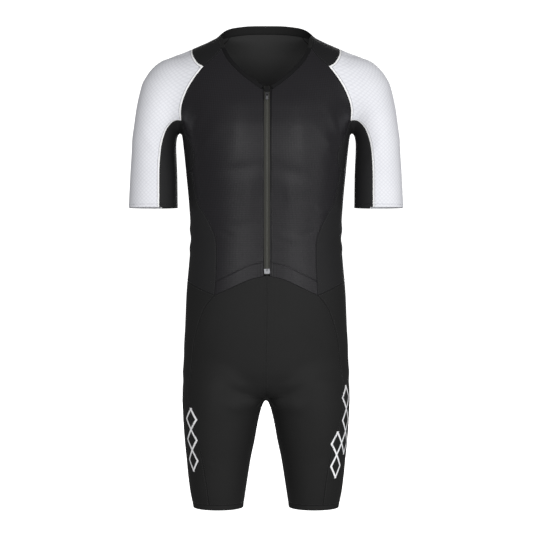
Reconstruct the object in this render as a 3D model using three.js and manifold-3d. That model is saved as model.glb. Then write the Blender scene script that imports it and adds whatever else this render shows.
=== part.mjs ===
// Short-sleeved one-piece triathlon suit, filled out as it is worn and open at the neck, cuffs and legs.
//
// Millimetres, +Z up, the front faces -Y and the wearer's left is +X. The origin lies in the middle of the
// neck opening, level with the sides of the neck.
//
// The suit's outer face is the level surface of one function: flattened rings stacked up the trunk, the
// arms and the legs, joined smoothly. The seams are curves on that surface. Each cloth piece is a grid
// stretched between its four seams, and the cloth has its thickness inside it.

import * as THREE from 'three';
import Module from 'manifold-3d';

const wasm = await Module();
wasm.setup();

// Driving dimensions
const seamGap = 0.3; // between neighbouring pieces
const bindingGap = 0.3; // the neck binding is drawn back this far from the seam under it
const clothWall = 1.4;
const hemWall = 2.2; // the turned hem of the front, two layers
const bindingWall = 2.0;
const tapeWall = 1.2;
const zipHalf = 6.0; // half of the zip's visible width
const coilHalf = 1.2;
const zipShift = 2.0; // the zip sits this far to the wearer's left of the middle
const leaning = { across: 90, frontFrom: -10, frontOver: 50, low: -700, over: 150 }; // where the shift fades
const cuffZ = -355;
const legSeamZ = -961;
const legHemZ = -971;

// Numbers of grid steps along the seams
const steps = {
  backNeck: 5,
  sideNeck: 8,
  frontNeck: 8,
  yoke: 3,
  raglan: 6,
  gusset: 5,
  sideSeam: 11,
  sleeve: 8,
  around: 8,
  centreFront: 12,
  inseam: 9,
};

// Trunk: height, half width, middle, depth in front, depth behind, squareness of the ring
const trunkRows = [
  { z: 60, half: 74, y: 27, front: 54, back: 52, square: 2.1 },
  { z: 34, half: 80, y: 26, front: 55, back: 56, square: 2.15 },
  { z: 20, half: 87, y: 24, front: 56, back: 64, square: 2.15 },
  { z: 8, half: 93, y: 22, front: 57, back: 72, square: 2.1 },
  { z: 0, half: 100, y: 20, front: 60, back: 78, square: 2.0 },
  { z: -12, half: 121, y: 18, front: 68, back: 86, square: 2.0 },
  { z: -24, half: 146.5, y: 17, front: 78, back: 92, square: 2.0 },
  { z: -37, half: 169, y: 16, front: 88, back: 96, square: 2.05 },
  { z: -50, half: 185, y: 15, front: 95, back: 100, square: 2.1 },
  { z: -66, half: 190, y: 14, front: 101, back: 104, square: 2.15 },
  { z: -90, half: 192, y: 12, front: 107, back: 108, square: 2.2 },
  { z: -120, half: 190, y: 10, front: 113, back: 111, square: 2.25 },
  { z: -160, half: 182, y: 6, front: 118, back: 115, square: 2.3 },
  { z: -200, half: 174, y: 2, front: 121, back: 116, square: 2.35 },
  { z: -240, half: 169, y: 0, front: 120, back: 113, square: 2.35 },
  { z: -290, half: 164, y: 0, front: 115, back: 106, square: 2.35 },
  { z: -350, half: 158.5, y: 0, front: 107, back: 95, square: 2.35 },
  { z: -417, half: 154.8, y: 0, front: 101, back: 88, square: 2.35 },
  { z: -470, half: 158.8, y: 0, front: 99, back: 91, square: 2.35 },
  { z: -530, half: 164, y: 0, front: 98, back: 102, square: 2.3 },
  { z: -600, half: 167, y: 2, front: 99, back: 115, square: 2.25 },
  { z: -650, half: 169.5, y: 4, front: 97, back: 117, square: 2.2 },
  { z: -690, half: 168, y: 6, front: 94, back: 110, square: 2.1 },
  { z: -712, half: 157, y: 8, front: 89, back: 100, square: 2.0 },
  { z: -728, half: 130, y: 8, front: 78, back: 84, square: 2.0 },
  { z: -742, half: 66, y: 8, front: 50, back: 56, square: 2.0 },
];

// Arm on the +X side, the other is its mirror image
const armRows = [
  { z: -44, x: 176, half: 20, y: 15, front: 16, back: 16, square: 2.0 },
  { z: -51, x: 180, half: 36, y: 15, front: 32, back: 32, square: 2.0 },
  { z: -62, x: 186, half: 45, y: 15, front: 42, back: 42, square: 2.0 },
  { z: -80, x: 193, half: 53, y: 14, front: 51, back: 51, square: 2.0 },
  { z: -98, x: 201, half: 55, y: 13, front: 57, back: 57, square: 2.0 },
  { z: -120, x: 208, half: 54, y: 12, front: 60, back: 60, square: 2.0 },
  { z: -150, x: 217, half: 51, y: 10, front: 60, back: 60, square: 2.05 },
  { z: -180, x: 224, half: 48, y: 8, front: 58, back: 58, square: 2.1 },
  { z: -223, x: 231, half: 45.8, y: 6, front: 54, back: 54, square: 2.1 },
  { z: -285, x: 231.5, half: 48.5, y: 3, front: 52, back: 52, square: 2.1 },
  { z: -354, x: 232.5, half: 50.5, y: 0, front: 51, back: 51, square: 2.1 },
  { z: -400, x: 233, half: 51.5, y: 0, front: 51, back: 51, square: 2.1 },
];

// Leg on the +X side
const legRows = [
  { z: -600, x: 76, half: 40, y: 10, front: 30, back: 36, square: 2.0 },
  { z: -650, x: 82, half: 68, y: 10, front: 62, back: 72, square: 2.0 },
  { z: -690, x: 86, half: 79.5, y: 9, front: 84, back: 92, square: 2.05 },
  { z: -712, x: 87.3, half: 83.6, y: 8, front: 91, back: 93, square: 2.1 },
  { z: -728, x: 87.7, half: 84.6, y: 8, front: 92, back: 92, square: 2.1 },
  { z: -747, x: 88.2, half: 84.8, y: 8, front: 92, back: 88, square: 2.1 },
  { z: -772, x: 91.4, half: 80.6, y: 6, front: 89, back: 83, square: 2.1 },
  { z: -800, x: 94, half: 76.6, y: 5, front: 85, back: 79, square: 2.1 },
  { z: -834, x: 95.8, half: 72.2, y: 4, front: 80, back: 74, square: 2.1 },
  { z: -870, x: 97.8, half: 66.4, y: 3, front: 74, back: 69, square: 2.1 },
  { z: -908, x: 99, half: 61.4, y: 1, front: 68, back: 63, square: 2.1 },
  { z: -940, x: 99.3, half: 56.8, y: 0, front: 63, back: 59, square: 2.1 },
  { z: -971, x: 98.3, half: 51.8, y: 0, front: 58, back: 56, square: 2.1 },
  { z: -1000, x: 98, half: 50, y: 0, front: 56, back: 54, square: 2.1 },
];

// Soft folds, on both sides of the middle: centre, direction, half length, half width and height
const foldRows = [
  { x: 150, y: -78, z: -205, dx: -0.5, dy: -0.1, dz: 0.85, long: 55, wide: 13, high: 3.0 },
  { x: 136, y: -92, z: -238, dx: -0.7, dy: -0.1, dz: 0.7, long: 48, wide: 12, high: 2.2 },
  { x: 150, y: 82, z: -210, dx: -0.5, dy: 0.1, dz: 0.85, long: 58, wide: 14, high: 3.0 },
  { x: 132, y: 96, z: -246, dx: -0.75, dy: 0.1, dz: 0.65, long: 46, wide: 13, high: 2.4 },
  { x: 160, y: 4, z: -398, dx: 0, dy: 0.96, dz: 0.25, long: 60, wide: 11, high: 2.4 },
  { x: 156, y: -10, z: -436, dx: 0, dy: 0.98, dz: -0.15, long: 52, wide: 10, high: 2.0 },
  { x: 60, y: 92, z: -430, dx: 0.97, dy: 0, dz: 0.22, long: 62, wide: 13, high: 2.6 },
  { x: 78, y: 90, z: -472, dx: 0.98, dy: 0, dz: -0.18, long: 50, wide: 12, high: 2.0 },
  { x: 46, y: -86, z: -722, dx: 0.78, dy: 0.1, dz: 0.62, long: 44, wide: 12, high: 2.6 },
  { x: 52, y: -82, z: -766, dx: 0.9, dy: 0.1, dz: 0.42, long: 36, wide: 10, high: 2.0 },
  { x: 70, y: 94, z: -752, dx: 0.95, dy: 0, dz: 0.3, long: 52, wide: 13, high: 3.2 },
  { x: 84, y: 86, z: -790, dx: 0.97, dy: 0, dz: 0.1, long: 40, wide: 11, high: 2.2 },
  { x: 226, y: -50, z: -236, dx: 0.55, dy: 0, dz: 0.83, long: 44, wide: 11, high: 2.0 },
  { x: 228, y: 54, z: -242, dx: 0.55, dy: 0, dz: 0.83, long: 46, wide: 12, high: 2.2 },
];

// Widths over which the trunk, arms and legs run into each other. The arms' width grows above the armpit
// and is less again on top of the shoulder.
const armBlend = { under: 14, over: 54, top: 30, overFrom: -215, overRise: 90, topFrom: -75, topRise: 30 };
const legBlend = 20;
const crotchBlend = 12;

// Corners where three or more pieces meet, on the +X side
const corner = {
  notch: [127, -66, -71],
  armpit: [173, -38, -179],
  gusset: [152, -57, -282],
  hip: [104, -81, -534],
  notchBack: [139, 66, -50],
  armpitBack: [175, 44, -182],
  gussetBack: [150, 62, -284],
  hipBack: [104, 88, -520],
  apex: [0, -98, -493],
  waistBack: [0, 102, -524],
  crotch: [0, 6, -748],
};

// Seams on the +X side, as points near the surface between two corners
const seamRows = {
  neck: [[0, 82, 33], [48, 78, 32], [78, 58, 25], [88, 40, 16], [93, 12, 3], [89, -24, -9], [84, -55, -30],
    [71, -77, -56], [46, -91, -84], [23, -98, -103], [zipHalf, -102, -115]],
  yoke: [[102, -65, -50], [114, -67, -61]],
  yokeBack: [[102, 72, -20], [120, 73, -36]],
  shoulder: [[138, -59, -64], [146, -46, -52], [151, -25, -38], [151, 5, -27], [149, 36, -33]],
  raglan: [[136, -66, -82], [152, -63, -105], [165, -59, -130], [173, -50, -156]],
  raglanBack: [[143, 75, -68], [150, 78, -90], [159, 76, -114], [168, 69, -140], [174, 57, -164]],
  gussetFront: [[166, -44, -198], [150, -66, -232], [145, -71, -250], [146, -66, -270]],
  gussetBack: [[166, 52, -202], [151, 70, -234], [145, 76, -252], [145, 72, -272]],
  gussetHem: [[161, -31, -284], [164, 2, -286], [160, 32, -285]],
  sideFront: [[138, -63, -349], [125, -72, -370], [112, -79, -395], [103, -83, -420], [101, -83, -460],
    [102, -82, -500]],
  sideBack: [[138, 68, -349], [124, 74, -374], [110, 80, -402], [103, 84, -435], [101, 86, -475]],
  hem: [[34, -96, -502], [70, -91, -518]],
  waistSide: [[154, -40, -511], [163, 5, -505], [152, 50, -508]],
  waistBack: [[52, 98, -523]],
  sleeveFront: [[189, -35, -180], [201, -41, -194], [208, -42, -210], [213, -44, -230], [216, -47, -262]],
  sleeveBack: [[190, 42, -184], [202, 48, -198], [209, 50, -214], [213, 51, -234], [216, 50, -264]],
  sideLeg: [[123, -71, -558], [139, -59, -600], [151, -52, -645], [157, -46, -700], [154, -48, -765],
    [142, -58, -815], [131, -64, -860], [121, -62, -915]],
  centreFront: [[0, -98, -560], [0, -96, -640], [0, -88, -690], [0, -60, -728]],
  centreBack: [[0, 112, -590], [0, 119, -650], [0, 108, -700], [0, 70, -735]],
  inseam: [[8, 5, -764], [17, 4, -800], [29, 2, -859], [39, 1, -920]],
  overarm: [[178, 10, -37], [209, 12, -50], [232, 12, -62], [250, 11, -86], [260, 9, -112], [268, 7, -149],
    [275, 5, -198], [279, 2, -272]],
};

// Neck binding: width behind the neck, at its side and in front
const bindingWidth = { back: 18, side: 11, front: 8 };

// Monotone cubic through the rows, one value for each named column
function makeTable(rows, columns) {
  const sorted = [...rows].sort((a, b) => a.z - b.z);
  const heights = sorted.map((row) => row.z);
  const values = sorted.map((row) => columns.map((name) => row[name]));
  const slope = (i, c) => (values[i + 1][c] - values[i][c]) / (heights[i + 1] - heights[i]);
  const tangents = values.map((_, i) => columns.map((__, c) => {
    if (i === 0) return slope(0, c);
    if (i === values.length - 1) return slope(i - 1, c);
    const before = slope(i - 1, c);
    const after = slope(i, c);
    return before * after > 0 ? (2 * before * after) / (before + after) : 0;
  }));
  const found = new Float64Array(columns.length);
  return {
    low: heights[0],
    high: heights[heights.length - 1],
    at(z) {
      const height = Math.min(Math.max(z, heights[0]), heights[heights.length - 1]);
      let i = 0;
      while (i < heights.length - 2 && heights[i + 1] < height) i += 1;
      const span = heights[i + 1] - heights[i];
      const t = (height - heights[i]) / span;
      const s = 1 - t;
      for (let c = 0; c < columns.length; c += 1) {
        found[c] = (1 + 2 * t) * s * s * values[i][c] + t * s * s * span * tangents[i][c]
          + t * t * (3 - 2 * t) * values[i + 1][c] + t * t * (t - 1) * span * tangents[i + 1][c];
      }
      return found;
    },
  };
}

const trunk = makeTable(trunkRows, ['half', 'y', 'front', 'back', 'square']);
const arm = makeTable(armRows, ['x', 'half', 'y', 'front', 'back', 'square']);
const leg = makeTable(legRows, ['x', 'half', 'y', 'front', 'back', 'square']);

// Distance outwards from a superellipse whose front and back have their own depths
function ringDistance(dx, dy, half, front, back, square) {
  const reach = Math.hypot(dx, dy) + 1e-9;
  const depth = dy < 0 ? front : back;
  const share = (Math.abs(dx) / half) ** square + (Math.abs(dy) / depth) ** square;
  return reach - reach / (share ** (1 / square) + 1e-12);
}

function smoothMin(a, b, width) {
  const h = Math.min(Math.max(0.5 + (0.5 * (b - a)) / width, 0), 1);
  return b + (a - b) * h - width * h * (1 - h);
}

function ease(t) {
  const s = Math.min(Math.max(t, 0), 1);
  return s * s * (3 - 2 * s);
}

// Height of the soft folds at a point
function foldHeight(x, y, z) {
  let height = 0;
  for (const fold of foldRows) {
    const px = Math.abs(x) - fold.x;
    const py = y - fold.y;
    const pz = z - fold.z;
    const along = px * fold.dx + py * fold.dy + pz * fold.dz;
    const apart = px * px + py * py + pz * pz - along * along;
    const reach = (along / fold.long) ** 2 + apart / fold.wide ** 2;
    if (reach < 9) height += fold.high * Math.exp(-reach);
  }
  return height;
}

// Signed height over the suit's outer face: zero on it, positive outside
function figure(x, y, z) {
  const side = Math.abs(x);
  const t = trunk.at(z);
  const body = Math.max(ringDistance(x, y - t[1], t[0], t[2], t[3], t[4]), trunk.low - z);
  const a = arm.at(z);
  const sleeve = ringDistance(side - a[0], y - a[2], a[1], a[3], a[4], a[5]);
  const limb = Math.max(sleeve, z - arm.high, arm.low - z);
  const l = leg.at(z);
  const near = Math.max(ringDistance(side - l[0], y - l[2], l[1], l[3], l[4], l[5]), z - leg.high);
  const far = Math.max(ringDistance(-side - l[0], y - l[2], l[1], l[3], l[4], l[5]), z - leg.high);
  const width = armBlend.under
    + (armBlend.over - armBlend.under) * ease((z - armBlend.overFrom) / armBlend.overRise)
    - (armBlend.over - armBlend.top) * ease((z - armBlend.topFrom) / armBlend.topRise);
  const legs = smoothMin(near, far, crotchBlend);
  return smoothMin(smoothMin(body, limb, width), legs, legBlend) - foldHeight(x, y, z);
}

function slopeAt(p) {
  const e = 0.4;
  return new THREE.Vector3(
    figure(p.x + e, p.y, p.z) - figure(p.x - e, p.y, p.z),
    figure(p.x, p.y + e, p.z) - figure(p.x, p.y - e, p.z),
    figure(p.x, p.y, p.z + e) - figure(p.x, p.y, p.z - e),
  ).divideScalar(2 * e);
}

// Moves a point straight on to the outer face. A held axis keeps its value.
function settle(point, rounds = 6, held = '') {
  const p = point.clone();
  for (let i = 0; i < rounds; i += 1) {
    const slope = slopeAt(p);
    if (held) slope[held] = 0;
    const size = slope.lengthSq();
    p.addScaledVector(slope, -figure(p.x, p.y, p.z) / Math.max(size, 0.05));
  }
  return p;
}

// Seams

const vec = (p) => new THREE.Vector3(p[0], p[1], p[2]);

// A seam between two corners through its rows, in even steps on the surface
function seam(start, rows, end, count, held = '') {
  const curve = new THREE.CatmullRomCurve3([start, ...rows, end].map(vec), false, 'centripetal');
  const fine = curve.getPoints(count * 8).map((p) => settle(p, 4, held));
  const even = new THREE.CatmullRomCurve3(fine, false, 'centripetal');
  even.arcLengthDivisions = count * 40;
  return even.getSpacedPoints(count).map((p) => settle(p, 4, held));
}

// One seam cut at some of its rows. Each part goes on for so many rows in so many steps.
function seamParts(rows, parts) {
  const curve = new THREE.CatmullRomCurve3(rows.map(vec), false, 'centripetal');
  let from = 0;
  return parts.map(({ span, count }) => {
    const start = from / (rows.length - 1);
    const reach = span / (rows.length - 1);
    from += span;
    const fine = Array.from({ length: count * 8 + 1 }, (_, i) => (
      settle(curve.getPoint(Math.min(start + (reach * i) / (count * 8), 1)), 4)));
    const even = new THREE.CatmullRomCurve3(fine, false, 'centripetal');
    even.arcLengthDivisions = count * 40;
    return even.getSpacedPoints(count).map((p) => settle(p, 4));
  });
}

const join = (...parts) => parts.reduce((all, part) => all.concat(all.length ? part.slice(1) : part), []);
const turned = (points) => [...points].reverse();
const mirrorPoint = (p) => new THREE.Vector3(-p.x, p.y, p.z);

// Points round a limb at one height, from one bearing to another, seen from above
function ringSeam(table, z, startAt, endAt, count) {
  const centre = new THREE.Vector3(table.at(z)[0], table.at(z)[2], z);
  const bearing = (p) => Math.atan2(p.y - centre.y, p.x - centre.x);
  let from = bearing(vec(startAt));
  let to = bearing(vec(endAt));
  if (to < from) to += 2 * Math.PI;
  const size = table.at(z)[1];
  return Array.from({ length: count + 1 }, (_, i) => {
    const angle = from + ((to - from) * i) / count;
    const guess = new THREE.Vector3(Math.cos(angle), Math.sin(angle), 0).multiplyScalar(size).add(centre);
    return settle(guess, 10, 'z');
  });
}

const cuffFront = [217, -49, cuffZ];
const cuffBack = [217, 50, cuffZ];
const legSeamOuter = [115, -57, legSeamZ];
const legSeamInner = [45.3, 0, legSeamZ];
const cuffOuter = ringSeam(arm, cuffZ, cuffFront, cuffBack, steps.around);
const cuffInner = turned(ringSeam(arm, cuffZ, cuffBack, cuffFront, steps.around));
const legFront = ringSeam(leg, legSeamZ, legSeamInner, legSeamOuter, steps.frontNeck + 1);
const backColumns = steps.backNeck + steps.yoke;
const legBack = turned(ringSeam(leg, legSeamZ, legSeamOuter, legSeamInner, backColumns + steps.around));
const points = (p) => [p.x, p.y, p.z];
const last = (run) => points(run[run.length - 1]);
const legSteps = steps.centreFront + steps.inseam;
const sleeveSteps = steps.raglan + steps.sleeve;

const line = {
  shoulder: seam(corner.notch, seamRows.shoulder, corner.notchBack, steps.around),
  raglan: seam(corner.notch, seamRows.raglan, corner.armpit, steps.raglan),
  raglanBack: seam(corner.notchBack, seamRows.raglanBack, corner.armpitBack, steps.raglan),
  gussetFront: seam(corner.armpit, seamRows.gussetFront, corner.gusset, steps.gusset),
  gussetBack: seam(corner.armpitBack, seamRows.gussetBack, corner.gussetBack, steps.gusset),
  gussetHem: seam(corner.gusset, seamRows.gussetHem, corner.gussetBack, steps.around),
  sideFront: seam(corner.gusset, seamRows.sideFront, corner.hip, steps.sideSeam),
  sideBack: seam(corner.gussetBack, seamRows.sideBack, corner.hipBack, steps.sideSeam),
  waistSide: seam(corner.hip, seamRows.waistSide, corner.hipBack, steps.around),
  waistBack: seam(corner.waistBack, seamRows.waistBack, corner.hipBack, backColumns),
  sleeveFront: seam(corner.armpit, seamRows.sleeveFront, points(cuffOuter[0]), steps.sleeve),
  sleeveBack: seam(corner.armpitBack, seamRows.sleeveBack, last(cuffOuter), steps.sleeve),
  sideLeg: seam(corner.hip, seamRows.sideLeg, last(legFront), legSteps),
  centreFront: seam(corner.apex, seamRows.centreFront, corner.crotch, steps.centreFront, 'x'),
  centreBack: seam(corner.waistBack, seamRows.centreBack, corner.crotch, steps.centreFront, 'x'),
  inseam: seam(corner.crotch, seamRows.inseam, points(legFront[0]), steps.inseam),
};
const apexSide = settle(new THREE.Vector3(zipHalf, -98, corner.apex[2] - 2), 6, 'x');
line.hem = seam(points(apexSide), seamRows.hem, corner.hip, steps.frontNeck);

// Neck ring: the finished edge from the middle of the back to the zip, and the seam one binding width below
const [neckBack, neckSide, neckFront] = seamParts(seamRows.neck, [
  { span: 2, count: steps.backNeck },
  { span: 4, count: steps.sideNeck },
  { span: 4, count: steps.frontNeck },
]);
const neckEdge = join(neckBack, neckSide, neckFront);
const neckSeam = neckEdge.map((p, i) => {
  const before = neckEdge[Math.max(i - 1, 0)];
  const after = neckEdge[Math.min(i + 1, neckEdge.length - 1)];
  const along = i === 0 ? new THREE.Vector3(1, 0, 0) : after.clone().sub(before).normalize();
  const down = slopeAt(p).cross(along).normalize();
  const side = ease((i - steps.backNeck) / (steps.sideNeck / 2));
  const front = ease((i - steps.backNeck - steps.sideNeck / 2) / (steps.sideNeck / 2));
  const width = bindingWidth.back + (bindingWidth.side - bindingWidth.back) * side
    + (bindingWidth.front - bindingWidth.side) * front;
  const held = i === 0 || i === neckEdge.length - 1 ? 'x' : '';
  const guess = p.clone().addScaledVector(down, width);
  if (held) guess.x = p.x;
  return settle(guess, 6, held);
});
const sideStart = steps.backNeck;
const frontStart = steps.backNeck + steps.sideNeck;
const neckSeamBack = neckSeam.slice(0, sideStart + 1);
const neckSeamSide = neckSeam.slice(sideStart, frontStart + 1);
const neckSeamFront = neckSeam.slice(frontStart);
line.yoke = seam(points(neckSeamFront[0]), seamRows.yoke, corner.notch, steps.yoke);
line.yokeBack = seam(points(neckSeamSide[0]), seamRows.yokeBack, corner.notchBack, steps.yoke);

// Straight runs on the middle of the body
function centreRun(x, start, end, count) {
  return Array.from({ length: count + 1 }, (_, i) => {
    if (i === 0) return start.clone();
    if (i === count) return end.clone();
    const guess = start.clone().lerp(end, i / count);
    guess.x = x;
    guess.y = start.y < 0 ? -110 : 110;
    return settle(guess, 14, 'x');
  });
}

const frontRows = steps.yoke + steps.raglan + steps.gusset + steps.sideSeam;
const backRows = steps.raglan + steps.gusset + steps.sideSeam;
line.zipSide = centreRun(zipHalf, neckSeamFront[steps.frontNeck], apexSide, frontRows);
line.centreSpine = centreRun(0, neckSeamBack[0], line.waistBack[0], backRows);

// Grids: rows of points from the top down, each row from its left seam to its right seam

// Coons patch between four seams, settled on to the surface
function stretch(left, right, top, bottom) {
  const rows = left.length - 1;
  const cols = top.length - 1;
  const grid = left.map((_, j) => top.map((__, i) => {
    if (j === 0) return top[i].clone();
    if (j === rows) return bottom[i].clone();
    if (i === 0) return left[j].clone();
    if (i === cols) return right[j].clone();
    const u = i / cols;
    const v = j / rows;
    const sides = left[j].clone().multiplyScalar(1 - u).addScaledVector(right[j], u);
    const ends = top[i].clone().multiplyScalar(1 - v).addScaledVector(bottom[i], v);
    const flat = top[0].clone().multiplyScalar((1 - u) * (1 - v)).addScaledVector(top[cols], u * (1 - v))
      .addScaledVector(bottom[0], (1 - u) * v).addScaledVector(bottom[cols], u * v);
    return settle(sides.add(ends).sub(flat), 10);
  }));
  return grid;
}

const frontGrid = stretch(
  line.zipSide,
  join(line.yoke, line.raglan, line.gussetFront, line.sideFront),
  turned(neckSeamFront),
  line.hem,
);
const backHalf = stretch(
  line.centreSpine,
  join(line.raglanBack, line.gussetBack, line.sideBack),
  join(neckSeamBack, line.yokeBack),
  line.waistBack,
);
const yokeGrid = stretch(turned(neckSeamSide), line.shoulder, line.yoke, line.yokeBack);
// The sleeve is stretched in two halves, on each side of its highest line, which isn't a seam
const half = steps.around / 2;
const overarm = seam(points(line.shoulder[half]), seamRows.overarm, points(cuffOuter[half]), sleeveSteps);
const sleeveFrontHalf = stretch(
  join(line.raglan, line.sleeveFront),
  overarm,
  line.shoulder.slice(0, half + 1),
  cuffOuter.slice(0, half + 1),
);
const sleeveBackHalf = stretch(
  overarm,
  join(line.raglanBack, line.sleeveBack),
  line.shoulder.slice(half),
  cuffOuter.slice(half),
);
const sleeveGrid = sleeveFrontHalf.map((row, j) => join(row, sleeveBackHalf[j]));
const underarmGrid = stretch(
  join(turned(line.sleeveFront), line.gussetFront),
  join(turned(line.sleeveBack), line.gussetBack),
  cuffInner,
  line.gussetHem,
);
const sideGrid = stretch(line.sideFront, line.sideBack, line.gussetHem, line.waistSide);
const shortsTop = join([line.centreFront[0], line.hem[0]], line.hem);
const shortsFrontGrid = stretch(join(line.centreFront, line.inseam), line.sideLeg, shortsTop, legFront);
const shortsBackGrid = stretch(
  join(line.centreBack, line.inseam),
  line.sideLeg,
  join(line.waistBack, turned(line.waistSide)),
  legBack,
);

// A strip between two runs of points
const strip = (first, second) => first.map((p, i) => [p, second[i]]);
const mirrorGrid = (grid) => grid.map((row) => turned(row.map(mirrorPoint)));
const backGrid = backHalf.map((row) => join(turned(row.map(mirrorPoint)), row));

const bandTop = neckEdge.slice(0, frontStart + 1);
const bandSeam = neckSeam.slice(0, frontStart + 1);
const bandGrid = [bandTop, bandSeam].map((run) => join(turned(run.map(mirrorPoint)), run));
const bindingGrid = [turned(neckFront), turned(neckSeamFront)];

const zipEnd = settle(new THREE.Vector3(zipHalf, -98, corner.apex[2] + 1), 6, 'x');
const tapeRun = [neckFront[steps.frontNeck], ...line.zipSide.slice(0, -1), zipEnd];
const atX = (x) => (p) => settle(new THREE.Vector3(x, p.y, p.z), 6, 'x');
const tapeGrid = strip(tapeRun.map(atX(coilHalf + seamGap / 2)), tapeRun);
const coilRun = tapeRun.slice(1);
const coilGrid = strip(coilRun.map(atX(-coilHalf - seamGap / 2)), coilRun.map(atX(coilHalf + seamGap / 2)));

// The hem band round a leg, a closed loop of two rows
const legLoop = join(legFront, turned(legBack)).slice(0, -1);
const legHemLoop = legLoop.map((p) => settle(new THREE.Vector3(p.x, p.y, legHemZ), 8, 'z'));
const legBandGrid = [legLoop, legHemLoop];

// Walls

// Shifts what is near the front's middle sideways, so that the zip lies off centre
function lean(p) {
  const middle = Math.exp(-((p.x / leaning.across) ** 2));
  const front = ease((leaning.frontFrom - p.y) / leaning.frontOver);
  const share = middle * front * ease((p.z - leaning.low) / leaning.over);
  return new THREE.Vector3(p.x + zipShift * share, p.y, p.z);
}

// Closed solid between a grid and its copy moved inwards, drawn back from its neighbours at each edge.
// The wall's thickness is a number or a function of the row and column. out moves both faces outwards.
function wallSolid(grid, wall, { closed = false, out = 0, pull = seamGap / 2 } = {}) {
  const rows = grid.length;
  const cols = grid[0].length;
  const thick = typeof wall === 'function' ? wall : () => wall;
  const outer = [];
  const inner = [];
  grid.forEach((row, j) => row.forEach((p, i) => {
    const q = p.clone();
    const normal = slopeAt(p).normalize();
    const inwards = (neighbour, along) => {
      const step = along.clone().cross(normal).normalize();
      if (step.dot(neighbour.clone().sub(p)) < 0) step.negate();
      q.addScaledVector(step, pull);
    };
    const left = row[(i - 1 + cols) % cols];
    const right = row[(i + 1) % cols];
    const above = grid[Math.max(j - 1, 0)][i];
    const below = grid[Math.min(j + 1, rows - 1)][i];
    if (j === 0 || j === rows - 1) {
      const along = closed || (i > 0 && i < cols - 1) ? right.clone().sub(left)
        : (i === 0 ? right.clone().sub(p) : p.clone().sub(left));
      inwards(j === 0 ? below : above, along);
    }
    if (!closed && (i === 0 || i === cols - 1)) {
      inwards(i === 0 ? right : left, below.clone().sub(above));
    }
    outer.push(lean(q.clone().addScaledVector(normal, out)));
    inner.push(lean(q.clone().addScaledVector(normal, out - thick(j, i))));
  }));
  const index = [];
  const count = outer.length;
  const quad = (a, b, c, d) => index.push(a, b, c, a, c, d);
  const at = (j, i) => j * cols + (i % cols);
  const span = closed ? cols : cols - 1;
  for (let j = 0; j < rows - 1; j += 1) {
    for (let i = 0; i < span; i += 1) {
      quad(at(j, i), at(j + 1, i), at(j + 1, i + 1), at(j, i + 1));
      quad(count + at(j, i), count + at(j, i + 1), count + at(j + 1, i + 1), count + at(j + 1, i));
    }
  }
  for (let i = 0; i < span; i += 1) {
    quad(at(0, i), at(0, i + 1), count + at(0, i + 1), count + at(0, i));
    quad(at(rows - 1, i + 1), at(rows - 1, i), count + at(rows - 1, i), count + at(rows - 1, i + 1));
  }
  if (!closed) {
    for (let j = 0; j < rows - 1; j += 1) {
      quad(at(j + 1, 0), at(j, 0), count + at(j, 0), count + at(j + 1, 0));
      quad(at(j, cols - 1), at(j + 1, cols - 1), count + at(j + 1, cols - 1), count + at(j, cols - 1));
    }
  }
  const geometry = new THREE.BufferGeometry();
  // A negative volume means that the grid runs clockwise seen from outside, so the faces are turned round
  const all = [...outer, ...inner];
  const positions = all.flatMap((p) => [p.x, p.y, p.z]);
  geometry.setAttribute('position', new THREE.Float32BufferAttribute(positions, 3));
  let volume = 0;
  for (let i = 0; i < index.length; i += 3) {
    const [a, b, c] = [all[index[i]], all[index[i + 1]], all[index[i + 2]]];
    volume += a.dot(b.clone().cross(c));
  }
  if (volume < 0) {
    for (let i = 0; i < index.length; i += 3) [index[i + 1], index[i + 2]] = [index[i + 2], index[i + 1]];
  }
  geometry.setIndex(index);
  return geometry;
}

// Zip: the hard pieces, in a frame of their own with x across, y up along the zip and z out of the cloth

const slider = { z: -133, wide: 7.4, narrow: 5.6, tall: 9.4, thick: 2.4, clear: 0.9, corner: 1.2 };
const bridge = { wide: 1.8, low: -2.6, high: 4.0, leg: 1.0, rise: 2.9, roof: 1.0, sunk: 0.4, corner: 0.6 };
const pull = {
  pin: 1.6, bar: 1.3, half: 2.7, rail: 0.9, eye: 5.8, length: 13.5, thick: 1.2, taper: 1.4, tip: 1.9,
};
const stopBox = { z: -485.5, wide: 11.2, tall: 9.6, thick: 1.8, slot: 1.6, slotEnd: 0.6, corner: 1 };
const garage = { top: -116.5, bottom: -127, half: 5.2, thick: 1.2 };
const proud = 0.5; // the coil stands this far out of the tapes

// Extruded outline, from one depth to another
function plate(outline, from, to, holes = []) {
  const shape = new THREE.Shape(outline.map(([x, y]) => new THREE.Vector2(x, y)));
  shape.holes = holes.map((hole) => new THREE.Path(hole.map(([x, y]) => new THREE.Vector2(x, y))));
  const geometry = new THREE.ExtrudeGeometry(shape, { depth: to - from, bevelEnabled: false });
  geometry.translate(0, 0, from);
  return geometry;
}

function toManifold(geometry) {
  const merged = new Map();
  const vertices = [];
  const triangles = [];
  const position = geometry.getAttribute('position');
  const order = geometry.index ? Array.from(geometry.index.array) : [...Array(position.count).keys()];
  for (const i of order) {
    const p = [position.getX(i), position.getY(i), position.getZ(i)];
    const key = p.map((value) => value.toFixed(4)).join();
    if (!merged.has(key)) {
      merged.set(key, vertices.length / 3);
      vertices.push(...p);
    }
    triangles.push(merged.get(key));
  }
  return new wasm.Manifold(new wasm.Mesh({
    numProp: 3,
    vertProperties: Float32Array.from(vertices),
    triVerts: Uint32Array.from(triangles),
  }));
}

function fromManifold(solid) {
  const mesh = solid.getMesh();
  const geometry = new THREE.BufferGeometry();
  geometry.setAttribute('position', new THREE.BufferAttribute(Float32Array.from(mesh.vertProperties), 3));
  geometry.setIndex(Array.from(mesh.triVerts));
  return geometry;
}

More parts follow.
